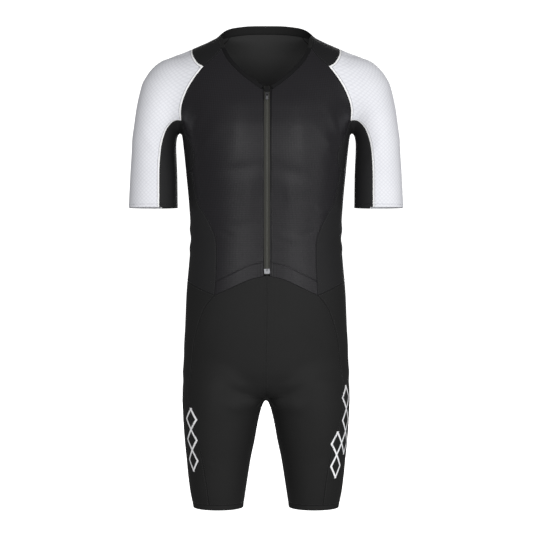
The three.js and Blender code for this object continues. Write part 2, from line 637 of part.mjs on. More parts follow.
// Places a group on the zip at a height, turned to face out of the cloth
function onZip(z) {
  const seat = settle(new THREE.Vector3(0, -104, z), 10, 'z');
  const normal = slopeAt(seat).normalize();
  const group = new THREE.Group();
  group.position.copy(lean(seat));
  group.rotation.x = Math.PI / 2 - Math.atan2(normal.z, -normal.y);
  return group;
}

const lift = proud + seamGap; // the underside of a hard piece that lies on the coil
const sliderTop = lift + slider.thick;
const pinHeight = sliderTop + slider.clear + pull.bar / 2;

function sliderGeometry() {
  const w = slider.wide / 2;
  const n = slider.narrow / 2;
  const h = slider.tall / 2;
  const c = slider.corner;
  const outline = [[-n, -h], [n, -h], [w, 0], [w, h - c], [w - c, h], [c - w, h], [-w, h - c], [-w, 0]];
  const body = plate(outline, lift, sliderTop);
  // The bridge is an arch in the plane across the cloth, so it is drawn on its side and turned up
  const { low, high, leg: foot, rise, corner: cut } = bridge;
  const top = rise + bridge.roof;
  const arch = plate([
    [low, -bridge.sunk], [low + foot, -bridge.sunk], [low + foot, rise],
    [high - foot, rise], [high - foot, -bridge.sunk], [high, -bridge.sunk],
    [high, top - cut], [high - cut, top], [low + cut, top], [low, top - cut],
  ], -bridge.wide / 2, bridge.wide / 2);
  arch.applyMatrix4(new THREE.Matrix4().makeBasis(
    new THREE.Vector3(0, 1, 0), new THREE.Vector3(0, 0, 1), new THREE.Vector3(1, 0, 0),
  ));
  arch.translate(0, 0, sliderTop);
  return fromManifold(toManifold(body).add(toManifold(arch)));
}

// The pull's axis is the middle of its top bar, at the frame's origin
function pullGeometry() {
  const h = pull.half;
  const bar = pull.bar / 2;
  const end = -pull.length;
  const taper = end + pull.taper;
  const outline = [[-h, bar], [-h, taper], [-pull.tip, end], [pull.tip, end], [h, taper], [h, bar]];
  const e = h - pull.rail;
  const eye = [[-e, -bar], [e, -bar], [e, -pull.eye], [-e, -pull.eye]];
  return plate(outline, -pull.thick / 2, pull.thick / 2, [eye]);
}

// A shallow tray with a slot up the middle for the zip's end
function stopGeometry() {
  const w = stopBox.wide / 2;
  const h = stopBox.tall / 2;
  const s = stopBox.slot / 2;
  const c = stopBox.corner;
  const outline = [[-w, c - h], [c - w, -h], [w - c, -h], [w, c - h], [w, h],
    [s, h], [s, stopBox.slotEnd], [-s, stopBox.slotEnd], [-s, h], [-w, h]];
  return plate(outline, lift, lift + stopBox.thick);
}

// Colours and finishes
const cloth = (colour, roughness = 0.85) => new THREE.MeshStandardMaterial({
  color: new THREE.Color(colour), roughness, metalness: 0,
});
const metal = (colour, roughness = 0.35) => new THREE.MeshStandardMaterial({
  color: new THREE.Color(colour), roughness, metalness: 1,
});
const colour = {
  mesh: '#37363a', side: '#202022', back: '#2a2a2b', shorts: '#2a2a2a', sleeve: '#e4e6ee',
  binding: '#1b1b1c', tape: '#4a4a45', coil: '#5c5c58', hem: '#232323', slider: '#1c1c1d',
  pull: '#8d8d8f', stop: '#b4b5b8',
};

const suit = new THREE.Group();

function add(name, geometry, material, parent = suit) {
  const mesh = new THREE.Mesh(geometry, material);
  mesh.name = name;
  parent.add(mesh);
}

// The last rows of the front are its turned hem
const frontWall = (j) => (j >= frontRows - 1 ? hemWall : clothWall);

for (const [side, place] of [['left', (grid) => grid], ['right', mirrorGrid]]) {
  add(`front_${side}`, wallSolid(place(frontGrid), frontWall), cloth(colour.mesh));
  add(`side_${side}`, wallSolid(place(sideGrid), clothWall), cloth(colour.side));
  add(`underarm_${side}`, wallSolid(place(underarmGrid), clothWall), cloth(colour.side));
  add(`yoke_${side}`, wallSolid(place(yokeGrid), clothWall), cloth(colour.back));
  add(`sleeve_${side}`, wallSolid(place(sleeveGrid), clothWall), cloth(colour.sleeve, 0.6));
  add(`shorts_front_${side}`, wallSolid(place(shortsFrontGrid), clothWall), cloth(colour.shorts));
  add(`shorts_back_${side}`, wallSolid(place(shortsBackGrid), clothWall), cloth(colour.shorts));
  const binding = wallSolid(place(bindingGrid), bindingWall, { pull: bindingGap });
  add(`neck_binding_${side}`, binding, cloth(colour.binding));
  add(`zip_tape_${side}`, wallSolid(place(tapeGrid), tapeWall), cloth(colour.tape));
  add(`leg_hem_${side}`, wallSolid(place(legBandGrid), bindingWall, { closed: true }), cloth(colour.hem));
}
add('back', wallSolid(backGrid, clothWall), cloth(colour.back));
add('back_neck_band', wallSolid(bandGrid, bindingWall, { pull: bindingGap }), cloth(colour.binding));
add('zip_coil', wallSolid(coilGrid, tapeWall + proud, { out: proud }), cloth(colour.coil, 0.5));

const garageRun = [garage.top, (garage.top + garage.bottom) / 2, garage.bottom];
const garageGrid = garageRun.map((z) => [-garage.half, 0, garage.half].map((x) => (
  settle(new THREE.Vector3(x, -104, z), 10, 'z'))));
const garageSolid = wallSolid(garageGrid, garage.thick, { out: lift + garage.thick, pull: 0 });
add('zip_garage', garageSolid, cloth(colour.binding));

const sliderSeat = onZip(slider.z);
suit.add(sliderSeat);
add('zip_slider', sliderGeometry(), metal(colour.slider, 0.5), sliderSeat);
const pullSeat = new THREE.Group();
pullSeat.position.set(0, pull.pin, pinHeight);
sliderSeat.add(pullSeat);
add('zip_pull', pullGeometry(), metal(colour.pull), pullSeat);

const stopSeat = onZip(stopBox.z);
suit.add(stopSeat);
add('zip_stop', stopGeometry(), metal(colour.stop), stopSeat);

export default suit;
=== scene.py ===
import bpy
import numpy as np
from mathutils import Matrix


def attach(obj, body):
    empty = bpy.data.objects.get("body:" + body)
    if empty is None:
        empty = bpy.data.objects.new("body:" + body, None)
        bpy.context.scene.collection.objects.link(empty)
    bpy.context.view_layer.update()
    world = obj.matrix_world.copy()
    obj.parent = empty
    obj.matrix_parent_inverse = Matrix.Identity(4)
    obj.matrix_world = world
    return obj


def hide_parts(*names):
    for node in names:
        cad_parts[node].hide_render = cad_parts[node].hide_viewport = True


# Short-sleeved one-piece triathlon suit, filled out as it is worn.
# The frame is in metres. Sizes below are in millimetres and are turned to metres when a mesh is made.

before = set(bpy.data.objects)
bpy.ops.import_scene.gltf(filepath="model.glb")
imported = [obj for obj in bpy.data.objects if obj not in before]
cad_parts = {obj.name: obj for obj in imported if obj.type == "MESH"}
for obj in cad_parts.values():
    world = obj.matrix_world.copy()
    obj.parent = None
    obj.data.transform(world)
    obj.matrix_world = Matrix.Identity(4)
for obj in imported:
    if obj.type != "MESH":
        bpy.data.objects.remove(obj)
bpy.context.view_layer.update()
mm = 0.001

# Camera: level, straight in front of the suit
cameraPlace = {"across": 0.001, "distance": 3.2, "height": -0.476, "viewWidth": 1.1, "sensor": 36.0}


def makeCamera(place):
    data = bpy.data.cameras.new("camera")
    data.sensor_width = place["sensor"]
    data.lens = place["sensor"] * place["distance"] / place["viewWidth"]
    camera = bpy.data.objects.new("camera", data)
    camera.location = (place["across"], -place["distance"], place["height"])
    camera.rotation_euler = (np.pi / 2, 0, 0)
    bpy.context.collection.objects.link(camera)
    bpy.context.scene.camera = camera
    print("camera made")


makeCamera(cameraPlace)

# Form of the suit

# Trunk: height, half width, middle, depth in front, depth behind, squareness of the ring
trunkRows = [
    (60, 74, 27, 54, 52, 2.1), (34, 80, 26, 55, 56, 2.15), (20, 87, 24, 56, 64, 2.15), (8, 93, 22, 57, 72, 2.1),
    (0, 100, 20, 60, 78, 2.0), (-12, 121, 18, 68, 86, 2.0), (-24, 146.5, 17, 78, 92, 2.0),
    (-37, 169, 16, 88, 96, 2.05), (-50, 185, 15, 95, 100, 2.1), (-66, 190, 14, 101, 104, 2.15),
    (-90, 192, 12, 107, 108, 2.2), (-120, 190, 10, 113, 111, 2.25), (-160, 182, 6, 118, 115, 2.3),
    (-200, 174, 2, 121, 116, 2.35), (-240, 169, 0, 120, 113, 2.35), (-290, 164, 0, 115, 106, 2.35),
    (-350, 158.5, 0, 107, 95, 2.35), (-417, 154.8, 0, 101, 88, 2.35), (-470, 158.8, 0, 99, 91, 2.35),
    (-530, 164, 0, 98, 102, 2.3), (-600, 167, 2, 99, 115, 2.25), (-650, 169.5, 4, 97, 117, 2.2),
    (-690, 168, 6, 94, 110, 2.1), (-712, 157, 8, 89, 100, 2.0), (-728, 130, 8, 78, 84, 2.0),
    (-742, 66, 8, 50, 56, 2.0),
]

# Arm and leg on the +X side: height, place across, half width, middle, depth in front, behind, squareness
armRows = [
    (-44, 176, 20, 15, 16, 16, 2.0), (-51, 180, 36, 15, 32, 32, 2.0), (-62, 186, 45, 15, 42, 42, 2.0),
    (-80, 193, 53, 14, 51, 51, 2.0), (-98, 201, 55, 13, 57, 57, 2.0), (-120, 208, 54, 12, 60, 60, 2.0),
    (-150, 217, 51, 10, 60, 60, 2.05), (-180, 224, 48, 8, 58, 58, 2.1), (-223, 231, 45.8, 6, 54, 54, 2.1),
    (-285, 231.5, 48.5, 3, 52, 52, 2.1), (-354, 232.5, 50.5, 0, 51, 51, 2.1), (-400, 233, 51.5, 0, 51, 51, 2.1),
]
legRows = [
    (-600, 76, 40, 10, 30, 36, 2.0), (-650, 82, 68, 10, 62, 72, 2.0), (-690, 86, 79.5, 9, 84, 92, 2.05),
    (-712, 87.3, 83.6, 8, 91, 93, 2.1), (-728, 87.7, 84.6, 8, 92, 92, 2.1), (-747, 88.2, 84.8, 8, 92, 88, 2.1),
    (-772, 91.4, 80.6, 6, 89, 83, 2.1), (-800, 94, 76.6, 5, 85, 79, 2.1), (-834, 95.8, 72.2, 4, 80, 74, 2.1),
    (-870, 97.8, 66.4, 3, 74, 69, 2.1), (-908, 99, 61.4, 1, 68, 63, 2.1), (-940, 99.3, 56.8, 0, 63, 59, 2.1),
    (-971, 98.3, 51.8, 0, 58, 56, 2.1), (-1000, 98, 50, 0, 56, 54, 2.1),
]

# Soft folds on both sides of the middle: centre, direction, half length, half width, height
foldRows = [
    (150, -78, -205, -0.5, -0.1, 0.85, 55, 13, 3.0), (136, -92, -238, -0.7, -0.1, 0.7, 48, 12, 2.2),
    (150, 82, -210, -0.5, 0.1, 0.85, 58, 14, 3.0), (132, 96, -246, -0.75, 0.1, 0.65, 46, 13, 2.4),
    (160, 4, -398, 0, 0.96, 0.25, 60, 11, 2.4), (156, -10, -436, 0, 0.98, -0.15, 52, 10, 2.0),
    (60, 92, -430, 0.97, 0, 0.22, 62, 13, 2.6), (78, 90, -472, 0.98, 0, -0.18, 50, 12, 2.0),
    (46, -86, -722, 0.78, 0.1, 0.62, 44, 12, 2.6), (52, -82, -766, 0.9, 0.1, 0.42, 36, 10, 2.0),
    (70, 94, -752, 0.95, 0, 0.3, 52, 13, 3.2), (84, 86, -790, 0.97, 0, 0.1, 40, 11, 2.2),
    (226, -50, -236, 0.55, 0, 0.83, 44, 11, 2.0), (228, 54, -242, 0.55, 0, 0.83, 46, 12, 2.2),
]
armBlend = {"under": 14, "over": 54, "top": 30, "overFrom": -215, "overRise": 90, "topFrom": -75, "topRise": 30}
legBlend = 20
crotchBlend = 12
leaning = {"shift": 2.0, "across": 90, "frontFrom": -10, "frontOver": 50, "low": -700, "over": 150}


def makeTable(rows):
    # Monotone cubic through the rows: each inner slope is the harmonic mean of its two neighbours
    rows = np.array(sorted(rows), float)
    heights, values = rows[:, 0], rows[:, 1:]
    slopes = np.diff(values, axis=0) / np.diff(heights)[:, None]
    product = slopes[:-1] * slopes[1:]
    inner = np.where(product > 0, 2 * product / np.where(product > 0, slopes[:-1] + slopes[1:], 1), 0)
    tangents = np.vstack([slopes[:1], inner, slopes[-1:]])
    return heights, values, tangents


def tableAt(table, z):
    heights, values, tangents = table
    z = np.clip(z, heights[0], heights[-1])
    i = np.clip(np.searchsorted(heights, z, side="right") - 1, 0, len(heights) - 2)
    span = heights[i + 1] - heights[i]
    t = ((z - heights[i]) / span)[..., None]
    s = 1 - t
    span = span[..., None]
    found = ((1 + 2 * t) * s**2 * values[i] + t * s**2 * span * tangents[i]
             + t**2 * (3 - 2 * t) * values[i + 1] + t**2 * (t - 1) * span * tangents[i + 1])
    return np.moveaxis(found, -1, 0)


trunk, arm, leg = makeTable(trunkRows), makeTable(armRows), makeTable(legRows)


def ringDistance(dx, dy, half, front, back, square):
    # Distance outwards from a superellipse: r - r / ((|x|/half)^n + (|y|/depth)^n)^(1/n)
    reach = np.hypot(dx, dy) + 1e-9
    share = (np.abs(dx) / half) ** square + (np.abs(dy) / np.where(dy < 0, front, back)) ** square
    return reach - reach / (share ** (1 / square) + 1e-12)


def smoothMin(a, b, width):
    h = np.clip(0.5 + 0.5 * (b - a) / width, 0, 1)
    return b + (a - b) * h - width * h * (1 - h)


def ease(t):
    s = np.clip(t, 0, 1)
    return s * s * (3 - 2 * s)


def ridges(p, rows, both=True):
    # Sum of soft ridges: high * exp(-(along / long)^2 - (apart / wide)^2), the same on both sides or as given
    side = np.stack([np.abs(p[..., 0]), p[..., 1], p[..., 2]], axis=-1) if both else p
    total = np.zeros(p.shape[:-1])
    for x, y, z, dx, dy, dz, long, wide, high in rows:
        away = side - (x, y, z)
        along = away @ np.array([dx, dy, dz])
        apart = (away**2).sum(-1) - along**2
        reach = (along / long) ** 2 + apart / wide**2
        total += np.where(reach < 9, high * np.exp(-reach), 0)
    return total


def figure(p):
    # Height over the suit's outer face: trunk, arm and leg rings joined smoothly, less the folds
    side, y, z = np.abs(p[..., 0]), p[..., 1], p[..., 2]
    half, middle, *rest = tableAt(trunk, z)
    body = np.maximum(ringDistance(side, y - middle, half, *rest), trunk[0][0] - z)
    x, half, middle, *rest = tableAt(arm, z)
    limb = np.maximum(ringDistance(side - x, y - middle, half, *rest), z - arm[0][-1])
    limb = np.maximum(limb, arm[0][0] - z)
    x, half, middle, *rest = tableAt(leg, z)
    near, far = (np.maximum(ringDistance(across - x, y - middle, half, *rest), z - leg[0][-1])
                 for across in (side, -side))
    width = (armBlend["under"]
             + (armBlend["over"] - armBlend["under"]) * ease((z - armBlend["overFrom"]) / armBlend["overRise"])
             - (armBlend["over"] - armBlend["top"]) * ease((z - armBlend["topFrom"]) / armBlend["topRise"]))
    whole = smoothMin(smoothMin(body, limb, width), smoothMin(near, far, crotchBlend), legBlend)
    return whole - ridges(p, foldRows)


def slopeAt(p, e=0.4):
    steps = e * np.eye(3)
    return np.stack([figure(p + step) - figure(p - step) for step in steps], axis=-1) / (2 * e)


def settle(p, rounds=6, held=None):
    # Moves points straight on to the outer face. A held axis, 0 to 2, keeps its value.
    p = np.array(p, float)
    for _ in range(rounds):
        slope = slopeAt(p)
        if held is not None:
            slope[..., held] = 0
        size = np.maximum((slope**2).sum(-1), 0.05)
        p -= slope * (figure(p) / size)[..., None]
    return p


def unit(vectors):
    return vectors / np.linalg.norm(vectors, axis=-1, keepdims=True)


def outwards(p):
    return unit(slopeAt(p))


def lean(p):
    # Shifts what is near the front's middle sideways, so that the zip lies off centre
    middle = np.exp(-((p[..., 0] / leaning["across"]) ** 2))
    front = ease((leaning["frontFrom"] - p[..., 1]) / leaning["frontOver"])
    share = middle * front * ease((p[..., 2] - leaning["low"]) / leaning["over"])
    moved = p.copy()
    moved[..., 0] += leaning["shift"] * share
    return moved


# Seams, as runs of points on the outer face

sizes = {
    "zipHalf": 6.0, "coilHalf": 1.2, "cuffZ": -355, "legSeamZ": -961, "legHemZ": -971,
    "bindingBack": 18, "bindingSide": 11, "bindingFront": 8,
}
steps = {
    "backNeck": 5, "sideNeck": 8, "frontNeck": 8, "yoke": 3, "raglan": 6, "gusset": 5, "sideSeam": 11,
    "sleeve": 8, "around": 8, "centreFront": 12, "inseam": 9,
}
corner = {
    "notch": (127, -66, -71), "armpit": (173, -38, -179), "gusset": (152, -57, -282), "hip": (104, -81, -534),
    "notchBack": (139, 66, -50), "armpitBack": (175, 44, -182), "gussetBack": (150, 62, -284),
    "hipBack": (104, 88, -520), "apex": (0, -98, -493), "waistBack": (0, 102, -524), "crotch": (0, 6, -748),
}
seamRows = {
    "neck": [(0, 82, 33), (48, 78, 32), (78, 58, 25), (88, 40, 16), (93, 12, 3), (89, -24, -9), (84, -55, -30),
             (71, -77, -56), (46, -91, -84), (23, -98, -103), (sizes["zipHalf"], -102, -115)],
    "yoke": [(102, -65, -50), (114, -67, -61)],
    "yokeBack": [(102, 72, -20), (120, 73, -36)],
    "shoulder": [(138, -59, -64), (146, -46, -52), (151, -25, -38), (151, 5, -27), (149, 36, -33)],
    "raglan": [(136, -66, -82), (152, -63, -105), (165, -59, -130), (173, -50, -156)],
    "raglanBack": [(143, 75, -68), (150, 78, -90), (159, 76, -114), (168, 69, -140), (174, 57, -164)],
    "gussetFront": [(166, -44, -198), (150, -66, -232), (145, -71, -250), (146, -66, -270)],
    "gussetBack": [(166, 52, -202), (151, 70, -234), (145, 76, -252), (145, 72, -272)],
    "gussetHem": [(161, -31, -284), (164, 2, -286), (160, 32, -285)],
    "sideFront": [(138, -63, -349), (125, -72, -370), (112, -79, -395), (103, -83, -420), (101, -83, -460),
                  (102, -82, -500)],
    "sideBack": [(138, 68, -349), (124, 74, -374), (110, 80, -402), (103, 84, -435), (101, 86, -475)],
    "hem": [(34, -96, -502), (70, -91, -518)],
    "waistSide": [(154, -40, -511), (163, 5, -505), (152, 50, -508)],
    "waistBack": [(52, 98, -523)],
    "sleeveFront": [(189, -35, -180), (201, -41, -194), (208, -42, -210), (213, -44, -230), (216, -47, -262)],
    "sleeveBack": [(190, 42, -184), (202, 48, -198), (209, 50, -214), (213, 51, -234), (216, 50, -264)],
    "sideLeg": [(123, -71, -558), (139, -59, -600), (151, -52, -645), (157, -46, -700), (154, -48, -765),
                (142, -58, -815), (131, -64, -860), (121, -62, -915)],
    "centreFront": [(0, -98, -560), (0, -96, -640), (0, -88, -690), (0, -60, -728)],
    "centreBack": [(0, 112, -590), (0, 119, -650), (0, 108, -700), (0, 70, -735)],
    "inseam": [(8, 5, -764), (17, 4, -800), (29, 2, -859), (39, 1, -920)],
    "overarm": [(178, 10, -37), (209, 12, -50), (232, 12, -62), (250, 11, -86), (260, 9, -112), (268, 7, -149),
                (275, 5, -198), (279, 2, -272)],
}
fineness = 200  # points kept along each seam
spanPoints = 60  # points on each span of its curve


def catmullRom(points, perSpan):
    # Centripetal Catmull-Rom curve: each span is a cubic whose end slopes weigh the neighbouring spans by
    # the square root of their lengths
    points = np.array(points, float)
    ends = 2 * points[[0, -1]] - points[[1, -2]]
    p = np.vstack([ends[:1], points, ends[1:]])
    gap = np.maximum(np.linalg.norm(np.diff(p, axis=0), axis=1) ** 0.5, 1e-4)[:, None]
    d0, d1, d2 = gap[:-2], gap[1:-1], gap[2:]
    p0, p1, p2, p3 = p[:-3], p[1:-2], p[2:-1], p[3:]
    t1 = ((p1 - p0) / d0 - (p2 - p0) / (d0 + d1) + (p2 - p1) / d1) * d1
    t2 = ((p2 - p1) / d1 - (p3 - p1) / (d1 + d2) + (p3 - p2) / d2) * d1
    t = (np.arange(perSpan) / perSpan)[None, :, None]
    p1, p2, t1, t2 = (a[:, None, :] for a in (p1, p2, t1, t2))
    curve = p1 + t1 * t + (-3 * p1 + 3 * p2 - 2 * t1 - t2) * t**2 + (2 * p1 - 2 * p2 + t1 + t2) * t**3
    return np.vstack([curve.reshape(-1, 3), points[-1:]])


def runLengths(points):
    # Length from the start of a run to each of its points
    return np.concatenate([[0], np.cumsum(np.linalg.norm(np.diff(points, axis=0), axis=1))])


def pointsAt(points, places, at):
    # Points of a run where its places, such as lengths, have the given values
    return np.stack([np.interp(at, places, points[:, k]) for k in range(3)], axis=-1)


def evenly(points, count):
    # The same line in even steps of length
    lengths = runLengths(points)
    return pointsAt(points, lengths, np.linspace(0, lengths[-1], count + 1))


def seam(start, rows, end, count, held=None):
    # A rail is a list of parts, each with its points and its number of steps
    line = settle(catmullRom([start, *rows, end], spanPoints), 4, held)
    return [(settle(evenly(line, fineness), 4, held), count)]


def turned(rail):
    return [(points[::-1], count) for points, count in reversed(rail)]


def railAt(rail, s):
    # Points at step numbers s, which needn't be whole
    found = np.zeros((len(s), 3))
    start = 0
    for points, count in rail:
        part = (s >= start - 1e-9) & (s <= start + count + 1e-9)
        at = np.clip((s[part] - start) / count, 0, 1) * (len(points) - 1)
        found[part] = pointsAt(points, np.arange(len(points)), at)
        start += count
    return found


def railLength(rail):
    return sum(runLengths(points)[-1] for points, _ in rail)


def railSteps(rail):
    return sum(count for _, count in rail)


def allPoints(*rails):
    runs = [points for rail in rails for points, _ in rail]
    return np.vstack([runs[0], *[run[1:] for run in runs[1:]]])


def ringSeam(table, z, startAt, endAt, count):
    # Points round a limb at one height, at even bearings
    x, half, y = tableAt(table, np.array(float(z)))[:3]
    start = np.arctan2(startAt[1] - y, startAt[0] - x)
    end = np.arctan2(endAt[1] - y, endAt[0] - x)
    end += 2 * np.pi * (end < start)
    angle = np.linspace(start, end, fineness + 1)
    guess = np.stack([x + half * np.cos(angle), y + half * np.sin(angle), np.full_like(angle, z)], axis=-1)
    return [(settle(guess, 10, 2), count)]


def centreRun(x, start, end, count):
    # A straight run on the middle of the body
    guess = start + (end - start) * np.linspace(0, 1, fineness * 2 + 1)[:, None]
    guess[1:-1, 0] = x
    guess[1:-1, 1] = -110 if start[1] < 0 else 110
    guess[1:-1] = settle(guess[1:-1], 14, 0)
    return [(guess, count)]


# Seams from corner to corner: their ends and the steps that they share with the seam opposite
seamEnds = {
    "shoulder": ("notch", "notchBack", "around"), "raglan": ("notch", "armpit", "raglan"),
    "raglanBack": ("notchBack", "armpitBack", "raglan"), "gussetFront": ("armpit", "gusset", "gusset"),
    "gussetBack": ("armpitBack", "gussetBack", "gusset"), "gussetHem": ("gusset", "gussetBack", "around"),
    "sideFront": ("gusset", "hip", "sideSeam"), "sideBack": ("gussetBack", "hipBack", "sideSeam"),
    "waistSide": ("hip", "hipBack", "around"), "waistBack": ("waistBack", "hipBack", "backNeck", "yoke"),
    "sleeveFront": ("armpit", "cuffFront", "sleeve"), "sleeveBack": ("armpitBack", "cuffBack", "sleeve"),
    "sideLeg": ("hip", "legOuter", "centreFront", "inseam"), "hem": ("apexSide", "hip", "frontNeck"),
    "centreFront": ("apex", "crotch", "centreFront"), "centreBack": ("waistBack", "crotch", "centreFront"),
    "inseam": ("crotch", "legInner", "inseam"),
}
cuffTurns = (217, -49), (217, 50)  # across and depth of the sleeve's seams at the cuff
legTurns = (45.3, 0), (115, -57)  # of the leg's seams at the leg band


def stepCount(*names):
    return sum(steps[name] for name in names)


def makeRails():
    rail = {}
    cuffFront, cuffBack = cuffTurns
    legInner, legOuter = legTurns
    rail["cuffOuter"] = ringSeam(arm, sizes["cuffZ"], cuffFront, cuffBack, steps["around"])
    rail["cuffInner"] = turned(ringSeam(arm, sizes["cuffZ"], cuffBack, cuffFront, steps["around"]))
    rail["legFront"] = ringSeam(leg, sizes["legSeamZ"], legInner, legOuter, steps["frontNeck"] + 1)
    rail["legBack"] = turned(ringSeam(
        leg, sizes["legSeamZ"], legOuter, legInner, stepCount("backNeck", "yoke", "around")))
    cuff, legRing = rail["cuffOuter"][0][0], rail["legFront"][0][0]
    ends = corner | {
        "cuffFront": cuff[0], "cuffBack": cuff[-1], "legInner": legRing[0], "legOuter": legRing[-1],
        "apexSide": settle([sizes["zipHalf"], -98, corner["apex"][2] - 2], 6, 0)}
    for name, (start, end, *shared) in seamEnds.items():
        held = 0 if name.startswith("centre") else None
        rail[name] = seam(ends[start], seamRows[name], ends[end], stepCount(*shared), held)

    # Neck ring in three parts: behind, at the side and in front. Its seam lies one binding width below.
    ring = catmullRom(seamRows["neck"], spanPoints)
    start, index = 0, [np.zeros(1)]
    for part, spans in (("back", 2), ("side", 4), ("front", 4)):
        count = steps[part + "Neck"]
        line = settle(ring[start * spanPoints:(start + spans) * spanPoints + 1], 4)
        rail["neck" + part.title()] = [(settle(evenly(line, fineness), 4), count)]
        index.append(index[-1][-1] + count * np.arange(1, fineness + 1) / fineness)
        start += spans
    edge, index = allPoints(rail["neckBack"], rail["neckSide"], rail["neckFront"]), np.concatenate(index)
    along = np.gradient(edge, axis=0)
    along[0] = (1, 0, 0)
    down = unit(np.cross(slopeAt(edge), along))
    halfSide = steps["sideNeck"] / 2
    sideShare = ease((index - steps["backNeck"]) / halfSide)
    frontShare = ease((index - steps["backNeck"] - halfSide) / halfSide)
    width = (sizes["bindingBack"] + (sizes["bindingSide"] - sizes["bindingBack"]) * sideShare
             + (sizes["bindingFront"] - sizes["bindingSide"]) * frontShare)
    below = edge + down * width[:, None]
    below[[0, -1], 0] = edge[[0, -1], 0]
    ends["top"], ends["zipTop"] = settle(below[[0, -1]], 6, 0)
    below = settle(below)
    below[0], below[-1] = ends["top"], ends["zipTop"]
    for k, part in enumerate(("Back", "Side", "Front")):
        points = below[k * fineness:(k + 1) * fineness + 1]
        rail["neckSeam" + part] = [(points, rail["neck" + part][0][1])]

    seamTop = {part: rail["neckSeam" + part][0][0][0] for part in ("Side", "Front")}
    rail["yoke"] = seam(seamTop["Front"], seamRows["yoke"], corner["notch"], steps["yoke"])
    rail["yokeBack"] = seam(seamTop["Side"], seamRows["yokeBack"], corner["notchBack"], steps["yoke"])
    rail["zipSide"] = centreRun(sizes["zipHalf"], ends["zipTop"], ends["apexSide"],
                                stepCount("yoke", "raglan", "gusset", "sideSeam"))
    rail["centreSpine"] = centreRun(0, ends["top"], rail["waistBack"][0][0][0],
                                    stepCount("raglan", "gusset", "sideSeam"))
    halfway = np.array([steps["around"] / 2])
    rail["overarm"] = seam(railAt(rail["shoulder"], halfway)[0], seamRows["overarm"],
                           railAt(rail["cuffOuter"], halfway)[0], stepCount("raglan", "sleeve"))
    rail["apexStep"] = [(np.array([rail["centreFront"][0][0][0], ends["apexSide"]]), 1)]
    return rail


rail = makeRails()
print("seams made:", len(rail))

# Cloth pieces: grids stretched between four seams

cloth = {
    "perStep": 5,  # grid lines between two steps of a seam
    "edgeLines": (0.5, 1.1, 1.9, 2.9),  # more grid lines this near a seam
    "cuffLines": (4.7, 5.4, 6.0, 6.6, 7.3),  # and this near a cuff
    "edgeClear": 1.2,  # the even lines start at this many times the last of the edge lines
    "lineClear": 0.4,  # and keep this far from any other given line
    "thick": 0.9,
    "dip": 0.45,  # the seam's valley: depth and half width
    "dipWide": 1.3,
    "cutShare": 1.06,  # a worn suit is this much larger than its cut pieces
    "fade": 12,  # creases fade out this near a seam
}
unfolding = {"facing": 0.75, "spread": 0.85, "reach": 7, "times": 2, "rounds": 30}


def gridSteps(count, length, lines=()):
    # Even steps, with more grid lines at both edges and at the given step numbers
    unit = length / count
    near = np.array(cloth["edgeLines"]) / unit
    inner = np.linspace(0, count, count * cloth["perStep"] + 1)
    clear = near[-1] * cloth["edgeClear"]
    inner = inner[(inner > clear) & (inner < count - clear)]
    least = cloth["lineClear"] / unit
    inner = np.array([s for s in inner if all(abs(s - line) > least for line in lines)] + list(lines))
    return np.concatenate([[0], near, np.sort(inner), count - near[::-1], [count]])


def foldShare(grid):
    # Share by which a point is evened out: 1 at cells that don't face away from the form, and less with each
    # step beside them
    normal = np.cross(np.diff(grid, axis=0)[:, :-1], np.diff(grid, axis=1)[:-1])
    middle = (grid[1:, 1:] + grid[:-1, :-1] + grid[1:, :-1] + grid[:-1, 1:]) / 4
    facing = (normal * outwards(middle)).sum(-1) / np.maximum(np.linalg.norm(normal, axis=-1), 1e-9)
    folded = facing * np.sign(np.median(facing)) < unfolding["facing"]
    share = np.zeros(grid.shape[:2])
    share[1:-1, 1:-1] = folded[1:, 1:] | folded[:-1, :-1] | folded[1:, :-1] | folded[:-1, 1:]
    for _ in range(unfolding["reach"]):
        beside = np.max([share[:-2, 1:-1], share[2:, 1:-1], share[1:-1, :-2], share[1:-1, 2:]], axis=0)
        share[1:-1, 1:-1] = np.maximum(share[1:-1, 1:-1], beside * unfolding["spread"])
    return share[1:-1, 1:-1, None]


def unfold(grid, rows, cols):
    # Where the grid folds over itself, inner points move by their share to their neighbours' mean, then settle
    down = ((rows[2:] - rows[1:-1]) / (rows[2:] - rows[:-2]))[:, None, None]
    across = ((cols[2:] - cols[1:-1]) / (cols[2:] - cols[:-2]))[None, :, None]
    for _ in range(unfolding["times"]):
        share = foldShare(grid)
        if not share.any():
            break
        for _ in range(unfolding["rounds"]):
            mean = (grid[:-2, 1:-1] * down + grid[2:, 1:-1] * (1 - down)
                    + grid[1:-1, :-2] * across + grid[1:-1, 2:] * (1 - across)) / 2
            grid[1:-1, 1:-1] += (mean - grid[1:-1, 1:-1]) * share
        grid[1:-1, 1:-1] = settle(grid[1:-1, 1:-1], 6)
    return grid


def meanLength(first, second):
    return (railLength(first) + railLength(second)) / 2


def stretch(left, right, top, bottom, rows=None, cols=None):
    # Coons patch: the blend of its two pairs of seams less the bilinear patch of its corners, settled
    countDown, countAcross = railSteps(left), railSteps(top)
    if rows is None:
        rows = gridSteps(countDown, meanLength(left, right))
    if cols is None:
        cols = gridSteps(countAcross, meanLength(top, bottom))
    l, r, t, b = railAt(left, rows), railAt(right, rows), railAt(top, cols), railAt(bottom, cols)
    u, v = (cols / countAcross)[None, :, None], (rows / countDown)[:, None, None]
    flat = (t[0] * (1 - u) * (1 - v) + t[-1] * u * (1 - v) + b[0] * (1 - u) * v + b[-1] * u * v)
    grid = l[:, None] * (1 - u) + r[:, None] * u + t[None] * (1 - v) + b[None] * v - flat
    grid[0], grid[-1], grid[:, 0], grid[:, -1] = t, b, l, r
    grid[1:-1, 1:-1] = settle(grid[1:-1, 1:-1], 10)
    return unfold(grid, rows, cols)


def mirrored(grid):
    return grid[:, ::-1] * (-1, 1, 1)


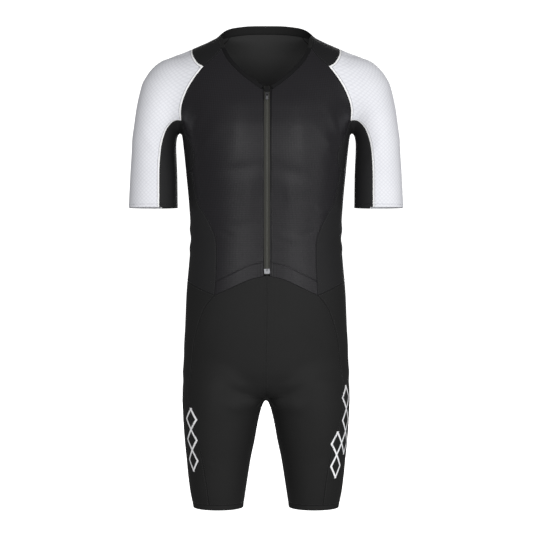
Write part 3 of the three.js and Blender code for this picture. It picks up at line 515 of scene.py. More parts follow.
def joinAcross(first, second):
    return np.concatenate([first, second[:, 1:]], axis=1)


def halfSteps(count, length, atStart):
    # Grid lines for half a piece: close together at its seam, even at the line where the halves meet
    full = gridSteps(count, length)
    even = np.linspace(0, count, count * cloth["perStep"] + 1)
    if atStart:
        return np.concatenate([full[full < count / 2], even[even >= count / 2]])
    return np.concatenate([even[even <= count / 2], full[full > count / 2]])


def joined(*names):
    # One rail of several, in order. A minus sign turns a rail round.
    return [part for name in names for part in (turned(rail[name[1:]]) if name[0] == "-" else rail[name])]


def makeGrids():
    half, around = steps["around"] // 2, fineness // 2
    shoulder, cuffOuter = rail["shoulder"][0][0], rail["cuffOuter"][0][0]
    cuffLines = np.array(cloth["cuffLines"])
    armFront, armBack = joined("raglan", "sleeveFront"), joined("raglanBack", "sleeveBack")
    armCount, armLong = railSteps(armFront), meanLength(armFront, armBack)
    armRows = gridSteps(armCount, armLong, armCount * (1 - cuffLines[::-1] / armLong))
    sleeve = []
    for atFront, part, seams in ((True, slice(0, around + 1), (armFront, rail["overarm"])),
                                 (False, slice(around, None), (rail["overarm"], armBack))):
        cols = halfSteps(half, railLength([(shoulder[:around + 1], half)]), atFront)
        sleeve.append(stretch(*seams, [(shoulder[part], half)], [(cuffOuter[part], half)], armRows, cols))
    under = joined("-sleeveFront", "gussetFront"), joined("-sleeveBack", "gussetBack")
    underCount, underLong = railSteps(under[0]), meanLength(*under)
    underRows = gridSteps(underCount, underLong, underCount * cuffLines / underLong)
    frontSide = joined("yoke", "raglan", "gussetFront", "sideFront")
    frontCount = railSteps(frontSide)
    turnedLines = frontCount - np.arange(2.1, 0.9, -0.0625)  # round the turned hem's upper edge
    frontRows = gridSteps(frontCount, meanLength(frontSide, rail["zipSide"]), turnedLines)
    backTop = joined("neckSeamBack", "yokeBack")
    backHalf = stretch(rail["centreSpine"], joined("raglanBack", "gussetBack", "sideBack"), backTop,
                       rail["waistBack"], None, halfSteps(railSteps(backTop), railLength(backTop), False))
    return {
        "front": stretch(rail["zipSide"], frontSide, joined("-neckSeamFront"), rail["hem"], frontRows),
        "back": joinAcross(mirrored(backHalf), backHalf),
        "yoke": stretch(joined("-neckSeamSide"), rail["shoulder"], rail["yoke"], rail["yokeBack"]),
        "sleeve": joinAcross(*sleeve),
        "underarm": stretch(*under, rail["cuffInner"], rail["gussetHem"], underRows),
        "side": stretch(rail["sideFront"], rail["sideBack"], rail["gussetHem"], rail["waistSide"]),
        "shorts_front": stretch(joined("centreFront", "inseam"), rail["sideLeg"], joined("apexStep", "hem"),
                                rail["legFront"]),
        "shorts_back": stretch(joined("centreBack", "inseam"), rail["sideLeg"],
                               joined("waistBack", "-waistSide"), rail["legBack"]),
    }


grids = makeGrids()
print("grids made:", ", ".join(f"{name} {grid.shape[0]}x{grid.shape[1]}" for name, grid in grids.items()))


def edgeDistances(grid):
    # Distance from the left, right, top and bottom edges, along the grid's own lines
    across = np.concatenate([np.zeros((len(grid), 1)), np.cumsum(
        np.linalg.norm(np.diff(grid, axis=1), axis=-1), axis=1)], axis=1)
    down = np.concatenate([np.zeros((1, grid.shape[1])), np.cumsum(
        np.linalg.norm(np.diff(grid, axis=0), axis=-1), axis=0)], axis=0)
    return across, across[:, -1:] - across, down, down[-1:] - down


def girth(p, limb, start):
    # Flat place of a point on the cloth: its bearing about the limb times a usual radius of that limb, and its
    # height. Bearings run from the front over the outer side, and their jump lies at start, in degrees.
    side, y, z = np.abs(p[..., 0]), p[..., 1], p[..., 2]
    table, radius = {"trunk": (trunk, 150), "arm": (arm, 50), "leg": (leg, 80)}[limb]
    values = tableAt(table, z)
    dx, dy = (side, y - values[1]) if limb == "trunk" else (side - values[0], y - values[2])
    first = np.radians(start)
    bearing = np.mod(np.arctan2(dx, -dy) - first, 2 * np.pi) + first
    return np.stack([radius * bearing, z], axis=-1)


def makeObject(name, points, faces, material, body="suit", smooth=True, uv=None, gaps=None):
    # points in millimetres; uv and each of the gaps hold one value for each point
    mesh = bpy.data.meshes.new(name)
    mesh.from_pydata((points * mm).tolist(), [], faces)
    mesh.polygons.foreach_set("use_smooth", [smooth] * len(mesh.polygons))
    loops = np.zeros(len(mesh.loops), int)
    mesh.loops.foreach_get("vertex_index", loops)
    if uv is not None:
        layer = mesh.uv_layers.new(name="cloth")
        layer.data.foreach_set("uv", uv[loops].astype(float).ravel())
    for gapName, values in (gaps or {}).items():
        attribute = mesh.attributes.new(gapName, "FLOAT", "POINT")
        attribute.data.foreach_set("value", values.astype(float))
    mesh.materials.append(material)
    mesh.update()
    piece = bpy.data.objects.new(name, mesh)
    bpy.context.collection.objects.link(piece)
    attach(piece, body)
    return piece


def gridFaces(rows, cols, start=0, closedAcross=False, flip=False):
    j, i = np.meshgrid(np.arange(rows - 1), np.arange(cols if closedAcross else cols - 1), indexing="ij")
    nextI = (i + 1) % cols
    quads = np.stack([j * cols + i, (j + 1) * cols + i, (j + 1) * cols + nextI, j * cols + nextI], axis=-1)
    quads = quads.reshape(-1, 4) + start
    return quads[:, ::-1] if flip else quads


def shellFaces(rows, cols, flip):
    # Outer grid, inner grid and the four rims between them
    count = rows * cols
    outer = gridFaces(rows, cols, 0, False, flip)
    inner = gridFaces(rows, cols, count, False, not flip)
    index = np.arange(count).reshape(rows, cols)
    rims = []
    for line, away in ((index[0], False), (index[-1], True), (index[:, 0], True), (index[:, -1], False)):
        a, b = line[:-1], line[1:]
        rim = np.stack([a, b, b + count, a + count], axis=-1)
        rims.append(rim if away == flip else rim[:, ::-1])
    return np.concatenate([outer, inner, *rims])


def isTurned(points, faces):
    # A negative volume means that the faces point inwards
    a, b, c, d = (points[faces[:, k]] for k in range(4))
    return (np.cross(b - a, c - a) * a).sum() + (np.cross(c - a, d - a) * a).sum() < 0


def clothShell(grid, height):
    # Outer face raised by height, inner face one thickness below it
    normal = outwards(grid)
    outer = lean(grid + normal * height[..., None])
    inner = lean(grid + normal * (height - cloth["thick"])[..., None])
    points = np.concatenate([outer.reshape(-1, 3), inner.reshape(-1, 3)])
    faces = shellFaces(*grid.shape[:2], False)
    if isTurned(points, faces):
        faces = shellFaces(*grid.shape[:2], True)
    return points, faces


# Small creases that the solids leave out: centre, direction, half length, half width, height
creaseRows = [
    (168, -52, -222, -0.35, -0.2, 0.91, 34, 5, 0.9), (158, -66, -226, -0.55, -0.2, 0.81, 30, 5, -0.8),
    (142, -80, -262, -0.8, -0.2, 0.56, 36, 6, 0.8), (170, 56, -226, -0.35, 0.2, 0.91, 36, 5, 1.0),
    (150, 78, -232, -0.6, 0.2, 0.77, 34, 6, -0.8), (118, 96, -226, -0.85, 0.15, 0.5, 46, 7, 0.9),
    (212, -52, -206, 0.4, 0, 0.92, 30, 5, 0.8), (219, -50, -262, 0.62, 0, 0.78, 34, 6, -0.7),
    (243, -46, -298, 0.86, 0, 0.5, 30, 6, 0.6), (214, 56, -214, 0.42, 0, 0.91, 32, 5, 0.9),
    (226, 54, -286, 0.7, 0, 0.71, 34, 6, -0.7), (250, 40, -322, 0.9, 0.2, 0.38, 26, 6, 0.6),
    (120, -80, -372, -0.9, -0.1, 0.42, 40, 7, 0.8), (92, -92, -408, 0.96, 0, 0.26, 34, 6, -0.6),
    (148, -40, -414, -0.6, -0.75, 0.25, 34, 6, 0.8), (152, 34, -426, -0.5, 0.83, 0.2, 36, 6, -0.8),
    (30, 86, -448, 0.99, 0, 0.12, 44, 7, 0.9), (96, 84, -456, 0.95, 0, -0.3, 38, 6, -0.8),
    (24, -60, -750, 0.9, -0.3, -0.1, 22, 19, 8.5), (52, -72, -752, 0.9, -0.2, -0.1, 20, 17, 3.0),
    (58, -112, -150, 1.0, 0, 0, 46, 34, 2.4),
    (96, -92, -776, 0.97, 0.1, 0.22, 32, 6, 0.7), (36, 88, -742, 0.86, 0, 0.5, 32, 6, 1.0),
    (98, 92, -772, 0.98, 0, 0.2, 40, 6, -0.8), (62, 84, -812, 0.98, 0, 0.16, 34, 6, 0.7),
    (110, -70, -880, 0.9, 0.3, 0.3, 26, 6, 0.5), (84, 66, -898, 0.95, 0, 0.3, 30, 6, 0.6),
]
# Creases of one side alone, in the same order
loneRows = [
    (-56, -117, -192, 0.1, 0, 1.0, 52, 17, 0.9), (64, -116, -198, -0.12, 0, 0.99, 46, 19, 1.0),
    (-62, -112, -284, 0.97, 0, 0.22, 50, 13, -1.3), (58, -112, -292, 0.96, 0, -0.26, 56, 15, -1.2),
    (-34, -108, -334, 0.16, 0, 0.99, 38, 13, 0.8), (44, -106, -326, -0.1, 0, 0.99, 30, 12, 0.9),
    (-146, -62, -214, 0.5, -0.2, 0.84, 36, 10, -1.1), (128, -82, -240, -0.7, -0.1, 0.7, 40, 9, -0.7),
    (-112, -84, -318, 0.9, 0, 0.42, 42, 10, 0.8), (118, -82, -352, 0.93, 0, -0.36, 36, 9, -0.7),
    (-70, -98, -398, 0.98, 0, 0.18, 40, 9, -0.6), (52, -99, -420, 0.97, 0, -0.2, 34, 8, 0.5),
    (-120, -70, -600, 0.5, 0, 0.87, 44, 11, 0.8), (96, -84, -640, 0.6, 0, -0.8, 50, 12, -0.8),
    (-66, -82, -846, 0.94, 0, 0.3, 34, 9, 0.6), (78, -78, -880, 0.96, 0, -0.25, 30, 8, -0.6),
    (60, 108, -250, 0.5, 0, 0.86, 52, 12, 1.0), (-84, 104, -278, 0.7, 0, -0.7, 46, 11, -0.9),
    (-40, 90, -412, 0.96, 0, 0.24, 48, 9, -0.9), (30, 92, -474, 0.98, 0, -0.16, 44, 9, 0.9),
    (-92, 98, -600, 0.6, 0, 0.8, 50, 13, 0.9), (70, 110, -668, 0.85, 0, 0.5, 40, 11, -0.8),
]

# Materials


def linear(colour):
    # sRGB hex to linear
    value = np.array([int(colour[k:k + 2], 16) for k in (1, 3, 5)]) / 255
    return (*np.where(value < 0.04045, value / 12.92, ((value + 0.055) / 1.055) ** 2.4), 1.0)


def addNode(tree, kind, inputs=(), **settings):
    # A node with its settings. An input is a value, another node's output, a node, for its first output, or a sum:
    # the name of a Math operation and its values, which may be sums too.
    node = tree.nodes.new("ShaderNode" + kind)
    for name, value in settings.items():
        setattr(node, name, value)
    for name, value in inputs.items() if isinstance(inputs, dict) else enumerate(inputs):
        if isinstance(value, tuple) and isinstance(value[0], str):
            value = addNode(tree, "Math", value[1:], operation=value[0])
        if isinstance(value, bpy.types.Node):
            value = value.outputs[0]
        if isinstance(value, bpy.types.NodeSocket):
            tree.links.new(value, node.inputs[name])
        else:
            node.inputs[name].default_value = value
    return node


def startMaterial(name, surface):
    material = bpy.data.materials.new(name)
    material.use_nodes = True
    tree = material.node_tree
    tree.nodes.clear()
    shader = addNode(tree, "BsdfPrincipled", surface)
    addNode(tree, "OutputMaterial", {"Surface": shader})
    return material, tree, shader


def wave(place, pitch, share):
    # Rises to 1 once in each pitch of its place: |cos(half a turn)| ^ share
    return "POWER", ("ABSOLUTE", ("COSINE", ("MULTIPLY", place, np.pi / (pitch * mm)))), share


def knit(name, look):
    # Knitted cloth: loops in columns and rows, with soft uneven dye. Its pitches are in millimetres, several times
    # the real loops', which would be too fine to show.
    material, tree, shader = startMaterial(
        name, {"Roughness": look["roughness"], "Specular IOR Level": look["specular"]})
    place = addNode(tree, "UVMap", uv_map="cloth")
    pulled = place
    if look["warp"]:
        # The cloth is pulled unevenly: place + noise * warp
        pull = addNode(tree, "TexNoise", {"Vector": place, "Scale": 70.0, "Detail": 1.0}).outputs["Color"]
        warp = look["warp"] * 2 * mm
        pulled = addNode(tree, "VectorMath", (pull, (warp, warp, 0), place), operation="MULTIPLY_ADD")
    turnedPlace = addNode(tree, "Mapping", {"Vector": pulled, "Rotation": (0, 0, look["turn"])})
    apart = addNode(tree, "SeparateXYZ", (turnedPlace,)).outputs
    pattern = addNode(tree, "Math", (wave(apart[0], look["column"], look["sharp"]),
                                     wave(apart[1], look["row"], look["sharp"])), operation="MULTIPLY")
    objectPlace = addNode(tree, "TexCoord").outputs["Object"]
    cloud = addNode(tree, "TexNoise", {"Vector": objectPlace, "Scale": 9.0, "Detail": 3.0})
    fine = addNode(tree, "TexNoise", {"Vector": objectPlace, "Scale": 700.0, "Detail": 1.0})
    mix = ("MULTIPLY_ADD", pattern, look["contrast"],
           ("MULTIPLY_ADD", cloud, look["mottle"], ("MULTIPLY", fine, look["fuzz"])))
    colour = addNode(tree, "Mix", {0: mix, 6: linear(look["dark"]), 7: linear(look["light"])},
                     data_type="RGBA", clamp_factor=True).outputs[2]
    for gapName, middle, half, shade, share in look["lines"]:
        # A line at one distance from a seam or hem, painted into the colour: painted shade where thread pulls the
        # cloth down into a groove or beside a fold, and on the sleeves a painted highlight on the turned edge:
        # share * clamp((half - |gap - middle|) / 0.4 + 0.5)
        gap = addNode(tree, "Attribute", attribute_name=gapName).outputs["Fac"]
        away = ("ABSOLUTE", ("SUBTRACT", gap, middle))
        line = addNode(tree, "Clamp", (("MULTIPLY_ADD", away, -2.5, 2.5 * half + 0.5),))
        colour = addNode(tree, "Mix", {0: ("MULTIPLY", line, share), 6: colour, 7: linear(shade)},
                         data_type="RGBA").outputs[2]
    bump = addNode(tree, "Bump", {"Height": ("MULTIPLY_ADD", fine, 0.25, pattern), "Strength": look["bump"],
                                  "Distance": look["depth"] * mm})
    tree.links.new(colour, shader.inputs["Base Color"])
    tree.links.new(bump.outputs[0], shader.inputs["Normal"])
    return material, tree, shader, colour, place


# Painted shade in a seam's valley: a dark line along the seam
seamPaintedShade = ("seamGap", 0.0, 0.9, "#101011", 0.4)
plainKnit = {"roughness": 0.7, "specular": 0.12, "turn": 0.0, "sharp": 0.8, "contrast": 0.45, "mottle": 0.3,
             "fuzz": 0.15, "warp": 0.0, "bump": 0.25, "depth": 0.2, "lines": []}
elasticKnit = {"column": 1.2, "row": 1.4, "mottle": 0.25, "bump": 0.3}
knitLooks = {
    # Open mesh of fine polyester: small square cells that catch the light in rows
    "front": {"dark": "#1b1a1c", "light": "#29282b", "roughness": 0.36, "specular": 0.14, "column": 3.6, "row": 3.6,
              "sharp": 0.6, "contrast": 0.75, "mottle": 0.25, "fuzz": 0.12, "bump": 0.5, "lines": [
                  # Painted shade: dark lines along the seams, along the turned hem's two stitch rows, in the groove
                  # beside the zip and along the hem's stitched ends
                  ("seamGap", 0.0, 0.9, "#101011", 0.45), ("hemGap", 28.0, 0.7, "#101011", 0.5),
                  ("hemGap", 25.4, 0.4, "#101011", 0.3), ("lipGap", 2.9, 1.1, "#0f0f10", 0.8),
                  ("boxGap", 13.0, 0.7, "#0f0f10", 0.7), ("boxGap", 19.0, 0.4, "#0f0f10", 0.5)]},
    # Dense smooth warp knit of the sides and underarms
    "side": {"dark": "#1d1d1e", "light": "#2e2e2f", "roughness": 0.6, "column": 1.6, "row": 2.2,
             # Painted shade along its seams and along the underarm's cuff hem stitching
             "lines": [seamPaintedShade, ("hemGap", 6.0, 0.5, "#101011", 0.4)]},
    # Back and yokes: the same yarn in a plainer knit
    "back": {"dark": "#1a1a1b", "light": "#29292a", "roughness": 0.62, "specular": 0.1, "column": 1.8, "row": 2.4,
             "lines": [seamPaintedShade]},
    # Its brushed reverse, which shows inside the neck: painted lighter than the outer knit, as painted light on the
    # inside, with a painted shadow along its seams where the bands step down
    "reverse_with_painted_light": {"dark": "#363636", "light": "#444444", "roughness": 0.8, "specular": 0.05, "column": 2.0,
                "row": 2.0, "contrast": 0.3, "fuzz": 0.3, "bump": 0.2,
                "lines": [("seamGap", 0.0, 1.6, "#121212", 0.8)]},
    # Compressive knit of the shorts, with a dull even face and painted shade along its seams
    "shorts": {"dark": "#1f1f1f", "light": "#2c2c2c", "roughness": 0.55, "specular": 0.07, "column": 1.5,
               "row": 2.0, "bump": 0.2, "lines": [("seamGap", 0.0, 0.9, "#121212", 0.4)]},
    # White sleeve knit with a small diamond lattice pressed into it; along its seams a pure white turned edge, its
    # plain face with a painted highlight, then painted shade in the stitch groove, and painted shade along the cuff
    # hem stitching
    "sleeve": {"dark": "#d4d5dc", "light": "#f3f4f9", "roughness": 0.6, "specular": 0.15, "turn": 0.785,
               "column": 5.8, "row": 5.8, "sharp": 0.5, "contrast": 0.5, "mottle": 0.45, "fuzz": 0.35, "warp": 1.2,
               "depth": 0.3, "lines": [("seamGap", 1.6, 2.0, "#ffffff", 1.0), ("seamGap", 4.3, 0.6, "#a4a5ab", 0.8),
                                       ("hemGap", 6.0, 0.5, "#b4b5bb", 0.7)]},
    # Folded elastic binding, closely knitted and nearly black
    "binding": {"dark": "#121213", "light": "#1d1d1e", **elasticKnit},
    # Elastic bands of the back neck and the legs, a shade lighter
    "band": {"dark": "#1e1e1e", "light": "#2a2a2a", **elasticKnit},
    # Woven zip tape, olive grey
    "tape": {"dark": "#31312d", "light": "#44443f", "specular": 0.2, "turn": 0.5, "column": 1.0, "row": 1.0,
             "contrast": 0.5, "mottle": 0.2, "bump": 0.3, "depth": 0.15},
}
materials = {key: knit(f"{key}_knit", plainKnit | look)[0] for key, look in knitLooks.items()}

# Chains of open rhombi on each thigh: place round the leg and middle height, number, width and height of a rhombus
prints = {
    "left": [(54, -858, 2, 30, 46), (84, -789, 3, 30, 46)],
    "right": [(64, -828, 3, 32, 42)],
}
printLook = {"line": 5.0, "soft": 0.5, "beyond": 2.0, "colour": "#fdfdff"}


def printedKnit(name, look, chains):
    # Shorts knit with a heat-set film print: a thin flat white line with crisp edges. A rhombus is
    # |x| / (width / 2) + |y| / (height / 2) = 1, where y starts again at each of them, and the line lies along it.
    material, tree, shader, colour, place = knit(name, look)
    apart = addNode(tree, "SeparateXYZ", (place,)).outputs
    mask = 0.0
    for across, middle, number, width, high in chains:
        steepX, steepY = 2 / (width * mm), 2 / (high * mm)
        x = ("ABSOLUTE", ("SUBTRACT", apart[0], across * mm))
        y = addNode(tree, "Math", (apart[1], middle * mm), operation="SUBTRACT")
        inside = ("LESS_THAN", ("ABSOLUTE", y), (number * high / 2 + printLook["beyond"]) * mm)
        shifted = addNode(tree, "Math", (y, 0.5 * high * (number % 2 == 0) * mm), operation="ADD")
        turns = ("ROUND", ("DIVIDE", shifted, high * mm))
        again = ("ABSOLUTE", ("SUBTRACT", shifted, ("MULTIPLY", turns, high * mm)))
        level = ("MULTIPLY_ADD", x, steepX, ("MULTIPLY", again, steepY))
        gap = ("DIVIDE", ("ABSOLUTE", ("SUBTRACT", level, 1.0)), np.hypot(steepX, steepY))
        line = addNode(tree, "Clamp", (
            ("DIVIDE", ("SUBTRACT", printLook["line"] / 2 * mm, gap), printLook["soft"] * mm),))
        mask = ("MAXIMUM", mask, ("MULTIPLY", line, inside))
    printed = addNode(tree, "Mix", {0: mask, 6: colour, 7: linear(printLook["colour"])}, data_type="RGBA")
    tree.links.new(printed.outputs[2], shader.inputs["Base Color"])
    return material


for side, chains in prints.items():
    materials[f"print_{side}"] = printedKnit(f"printed_knit_{side}", plainKnit | knitLooks["shorts"], chains)


def thread(name, colour):
    # Twisted polyester sewing thread: a soft shine broken by its twist
    material, tree, shader = startMaterial(name, {"Roughness": 0.5, "Sheen Weight": 0.1, "Specular IOR Level": 0.4})
    place = addNode(tree, "TexCoord").outputs["Object"]
    twist = addNode(tree, "TexNoise", {"Vector": place, "Scale": 1500.0, "Detail": 1.0})
    shaded = (*0.8 * np.array(linear(colour)[:3]), 1.0)
    shade = addNode(tree, "Mix", {0: twist, 6: shaded, 7: linear(colour)}, data_type="RGBA")
    tree.links.new(shade.outputs[2], shader.inputs["Base Color"])
    return material


materials["darkThread"] = thread("dark_thread", "#1b1b1d")
materials["whiteThread"] = thread("white_thread", "#f4f4f8")


def worn(name, dark, light, metallic, roughness, grainSize):
    # Hard surface: fine grain in its colour, roughness and height
    material, tree, shader = startMaterial(name, {"Metallic": metallic, "Roughness": roughness})
    place = addNode(tree, "TexCoord").outputs["Object"]
    grain = addNode(tree, "TexNoise", {"Vector": place, "Scale": 1 / (grainSize * mm), "Detail": 2.0})
    shade = addNode(tree, "Mix", {0: grain, 6: linear(dark), 7: linear(light)}, data_type="RGBA")
    rough = addNode(tree, "Math", (grain, 0.25, roughness - 0.12), operation="MULTIPLY_ADD")
    bump = addNode(tree, "Bump", {"Height": grain, "Strength": 0.3, "Distance": 0.02 * mm})
    for socket, output in (("Base Color", shade.outputs[2]), ("Roughness", rough.outputs[0]),
                           ("Normal", bump.outputs[0])):
        tree.links.new(output, shader.inputs[socket])
    return material


# Drawn nylon coil, dull; die-cast slider in black enamel; stamped steel pull; moulded satin stop box
for key, *look in (
        ("coil", "drawn_nylon_coil", "#3f3f3a", "#54544e", 0.0, 0.5, 1.0),
        ("enamel", "black_enamelled_zinc", "#0b0b0c", "#151516", 0.0, 0.55, 1.5),
        ("steel", "stamped_steel", "#5c5c5f", "#77777a", 1.0, 0.5, 0.8),
        ("satin", "satin_aluminium", "#77787b", "#97989b", 1.0, 0.5, 0.8)):
    materials[key] = worn(*look)

# Cloth pieces

panels = {
    "front": {"limb": "trunk", "start": -180, "material": "front", "slot": "front_mesh", "lip": "left",
              "turnedHem": "bottom"},
    "side": {"limb": "trunk", "start": -90, "material": "side", "slot": "side_knit"},
    "underarm": {"limb": "arm", "start": -180, "material": "side", "slot": "side_knit", "hem": "top"},
    "yoke": {"limb": "trunk", "start": -90, "material": "back", "slot": "back_knit"},
    "sleeve": {"limb": "arm", "start": -90, "material": "sleeve", "slot": "sleeve_knit", "hem": "bottom"},
    "shorts_front": {"limb": "leg", "start": -135, "material": "print", "slot": "shorts_knit", "faint": "left"},
    "shorts_back": {"limb": "leg", "start": -81, "material": "print", "slot": "shorts_knit"},
    "back": {"limb": "trunk", "start": 0, "material": "back", "slot": "back_knit"},
}
# Raised edges have a height and a width, grooves a depth, a distance from the edge and a half width
finish = {
    "lip": (0.6, 1.7), "lipGroove": (0.5, 2.9, 1.0), "lipRight": 1.7, "hemGroove": (0.35, 6.0, 0.8),
    "turned": (0.6, 28.0), "turnedGroove": (0.45, 28.0, 0.9), "turnedSlope": 1.5, "faint": 1.2, "far": 500.0,
}


def groove(gap, deep, middle, wide):
    # A soft valley at one distance from an edge: deep * exp(-((gap - middle) / wide)^2)
    return deep * np.exp(-(((gap - middle) / wide) ** 2))


def makePanel(name, spec, place, mirror):
    grid = mirrored(grids[name]) if mirror else grids[name]
    left, right, top, bottom = edgeDistances(grid)
    edges = {"left": right if mirror else left, "right": left if mirror else right, "top": top, "bottom": bottom}
    openEdges = [spec[key] for key in ("hem", "lip", "turnedHem") if key in spec]
    seamGap = np.minimum.reduce([
        gap + finish["faint"] * (key == spec.get("faint")) for key, gap in edges.items() if key not in openEdges])
    height = (ridges(grid, creaseRows) + ridges(grid, loneRows, False)) * ease(seamGap / cloth["fade"])
    height -= groove(seamGap, cloth["dip"], 0, cloth["dipWide"])
    hemGap = lipGap = boxGap = np.full_like(seamGap, finish["far"])
    if "hem" in spec:
        hemGap = edges[spec["hem"]]
        height -= groove(hemGap, *finish["hemGroove"])
    if "lip" in spec:
        # A folded edge beside the zip, and a groove along it that is narrower on the right. lipGap also places the
        # front knit's painted shade in that groove, narrower on the right too.
        lipGap = edges[spec["lip"]] * (finish["lipRight"] if mirror else 1)
        high, wide = finish["lip"]
        height += high * np.exp(-((lipGap / wide) ** 4)) - groove(lipGap, *finish["lipGroove"])
    if "turnedHem" in spec:
        hemGap = edges[spec["turnedHem"]]
        high, wide = finish["turned"]
        height += high * (1 - ease((hemGap - wide) / finish["turnedSlope"] + 0.5))
        height -= groove(hemGap, *finish["turnedGroove"])
        boxGap = np.where(hemGap < wide + 0.5, np.abs(grid[..., 0]), finish["far"])
    points, faces = clothShell(grid, height)
    uv = girth(grid, spec["limb"], spec["start"]).reshape(-1, 2) * mm
    look = spec["material"] + ("_right" if mirror else "_left") * (spec["material"] == "print")
    # The gaps, in millimetres, also place the knits' painted shade lines and the sleeves' painted highlight
    gaps = {"seamGap": seamGap, "hemGap": hemGap, "lipGap": lipGap, "boxGap": boxGap}
    piece = makeObject(place + "_cloth", points, faces.tolist(), materials[look], uv=np.concatenate([uv, uv]),
                       gaps={key: np.tile(gap.ravel(), 2) for key, gap in gaps.items()})
    # Inner faces take the reverse knit, painted lighter as painted light inside the suit; the sleeves' inner faces
    # keep the sleeve knit
    piece.data.materials.append(materials["sleeve" if name == "sleeve" else "reverse_with_painted_light"])
    count = (grid.shape[0] - 1) * (grid.shape[1] - 1)
    isInner = np.zeros(len(faces), int)
    isInner[count:2 * count] = 1
    piece.data.polygons.foreach_set("material_index", isInner)
    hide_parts(place)


for name, spec in panels.items():
    for side in ("",) if name == "back" else ("_left", "_right"):
        makePanel(name, spec, name + side, side == "_right")
print("cloth pieces made")

# Bands: bindings, leg bands and zip tapes, with rounded edges

bands = {"around": 20, "square": 5.0, "thick": 2.0, "least": 0.0101}


def bandObject(node, first, second, thick, look, slot, out=0.0, closed=False, mirror=False, held=None,
               isCloth=True):
    # Superelliptic section carried along two runs of points: cos across the band, sin through its thickness,
    # which lies below the form's face raised by out
    angle = np.linspace(0, 2 * np.pi, bands["around"], endpoint=False)
    power = 2 / bands["square"]
    across = 0.5 + 0.5 * np.sign(np.cos(angle)) * np.abs(np.cos(angle)) ** power
    depth = 0.5 * np.sign(np.sin(angle)) * np.abs(np.sin(angle)) ** power
    base = settle(first[:, None] * (1 - across)[None, :, None] + second[:, None] * across[None, :, None], 6, held)
    points = base + outwards(base) * (out + thick * (depth - 0.5))[None, :, None]
    rows, cols = points.shape[:2]
    points = lean(points * (-1, 1, 1) if mirror else points).reshape(-1, 3)
    faces = gridFaces(rows + closed, cols, 0, True) % (rows * cols)
    isFlipped = isTurned(points - points.mean(0), faces)
    faces = (faces[:, ::-1] if isFlipped else faces).tolist()
    if not closed:
        turn = -1 if isFlipped else 1
        faces += [list(range(cols))[::turn], list(range((rows - 1) * cols, rows * cols))[::-turn]]
    run = runLengths(first)
    width = np.linalg.norm(first - second, axis=-1).mean()
    uv = np.stack(np.broadcast_arrays(across[None] * width, run[:, None]), axis=-1).reshape(-1, 2) * mm
    piece = makeObject(node + "_cloth", points, faces, materials[look], uv=uv)
    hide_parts(node)


def bothSides(run):
    # A run that starts on the middle, with its mirror image before it
    return np.vstack([run[::-1] * (-1, 1, 1), run[1:]])


def atX(run, x):
    moved = run.copy()
    moved[:, 0] = x
    return settle(moved, 6, 0)


neckEdge = bothSides(allPoints(rail["neckBack"], rail["neckSide"])[::2])
neckBelow = bothSides(allPoints(rail["neckSeamBack"], rail["neckSeamSide"])[::2])
bandObject("back_neck_band", neckEdge, neckBelow, bands["thick"], "band", "binding_knit")
legLoop = np.vstack([allPoints(rail["legFront"]), allPoints(rail["legBack"])[::-1][1:-1]])[::2]
legEdge = legLoop.copy()
legEdge[:, 2] = sizes["legHemZ"]
legEdge = settle(legEdge, 8, 2)
zipLow = settle([sizes["zipHalf"], -98, corner["apex"][2] + 1], 6, 0)
zipRun = np.vstack([rail["neckFront"][0][0][-1], rail["zipSide"][0][0][:-4:3], zipLow])
zipFit = {"gap": 0.15, "spare": 0.1, "thick": 0.8, "sink": 0.1, "coilThick": 0.9, "coilSink": 0.25}

for side, flip in (("left", False), ("right", True)):
    bandObject(f"neck_binding_{side}", rail["neckFront"][0][0][::3], rail["neckSeamFront"][0][0][::3],
               bands["thick"], "binding", "binding_knit", mirror=flip)
    bandObject(f"leg_hem_{side}", legLoop, legEdge, bands["thick"], "band", "hem_knit", closed=True, mirror=flip,
               held=2)
    bandObject(f"zip_tape_{side}", atX(zipRun, sizes["coilHalf"] + zipFit["gap"]),
               atX(zipRun, sizes["zipHalf"] - zipFit["spare"]), zipFit["thick"], "tape", "zip_tape",
               out=-zipFit["sink"], mirror=flip)
bandObject("zip_coil", atX(zipRun[2:], -sizes["coilHalf"]), atX(zipRun[2:], sizes["coilHalf"]), zipFit["coilThick"],
           "coil", "zip_coil", out=-zipFit["coilSink"], isCloth=False)

garage = {"top": -116.5, "bottom": -127.0, "half": 5.2, "thick": 1.2, "out": 2.0, "lines": 12}


def uprightRun(x, y, top, bottom, count, rounds, held):
    guess = np.stack([np.full(count, x), np.full(count, y), np.linspace(top, bottom, count)], axis=-1)
    return settle(guess, rounds, held)


garageSides = [uprightRun(side * garage["half"], -104.0, garage["top"], garage["bottom"], garage["lines"], 10, 2)
               for side in (-1, 1)]
bandObject("zip_garage", *garageSides, garage["thick"], "binding", "binding_knit", out=garage["out"])
print("bands made")

# Rods: stitches and zip coil

stitch = {"long": 2.7, "pitch": 3.6, "radius": 0.34, "apart": 2.3, "lift": 0.12}
# Stitched ends of the turned hem
boxEnds = {"inner": 13.0, "outer": 19.0, "top": -466.5, "bottom": -491.0, "slant": 0.35}
coilLook = {"long": 2.3, "pitch": 1.5, "radius": 0.42, "shift": 0.3}


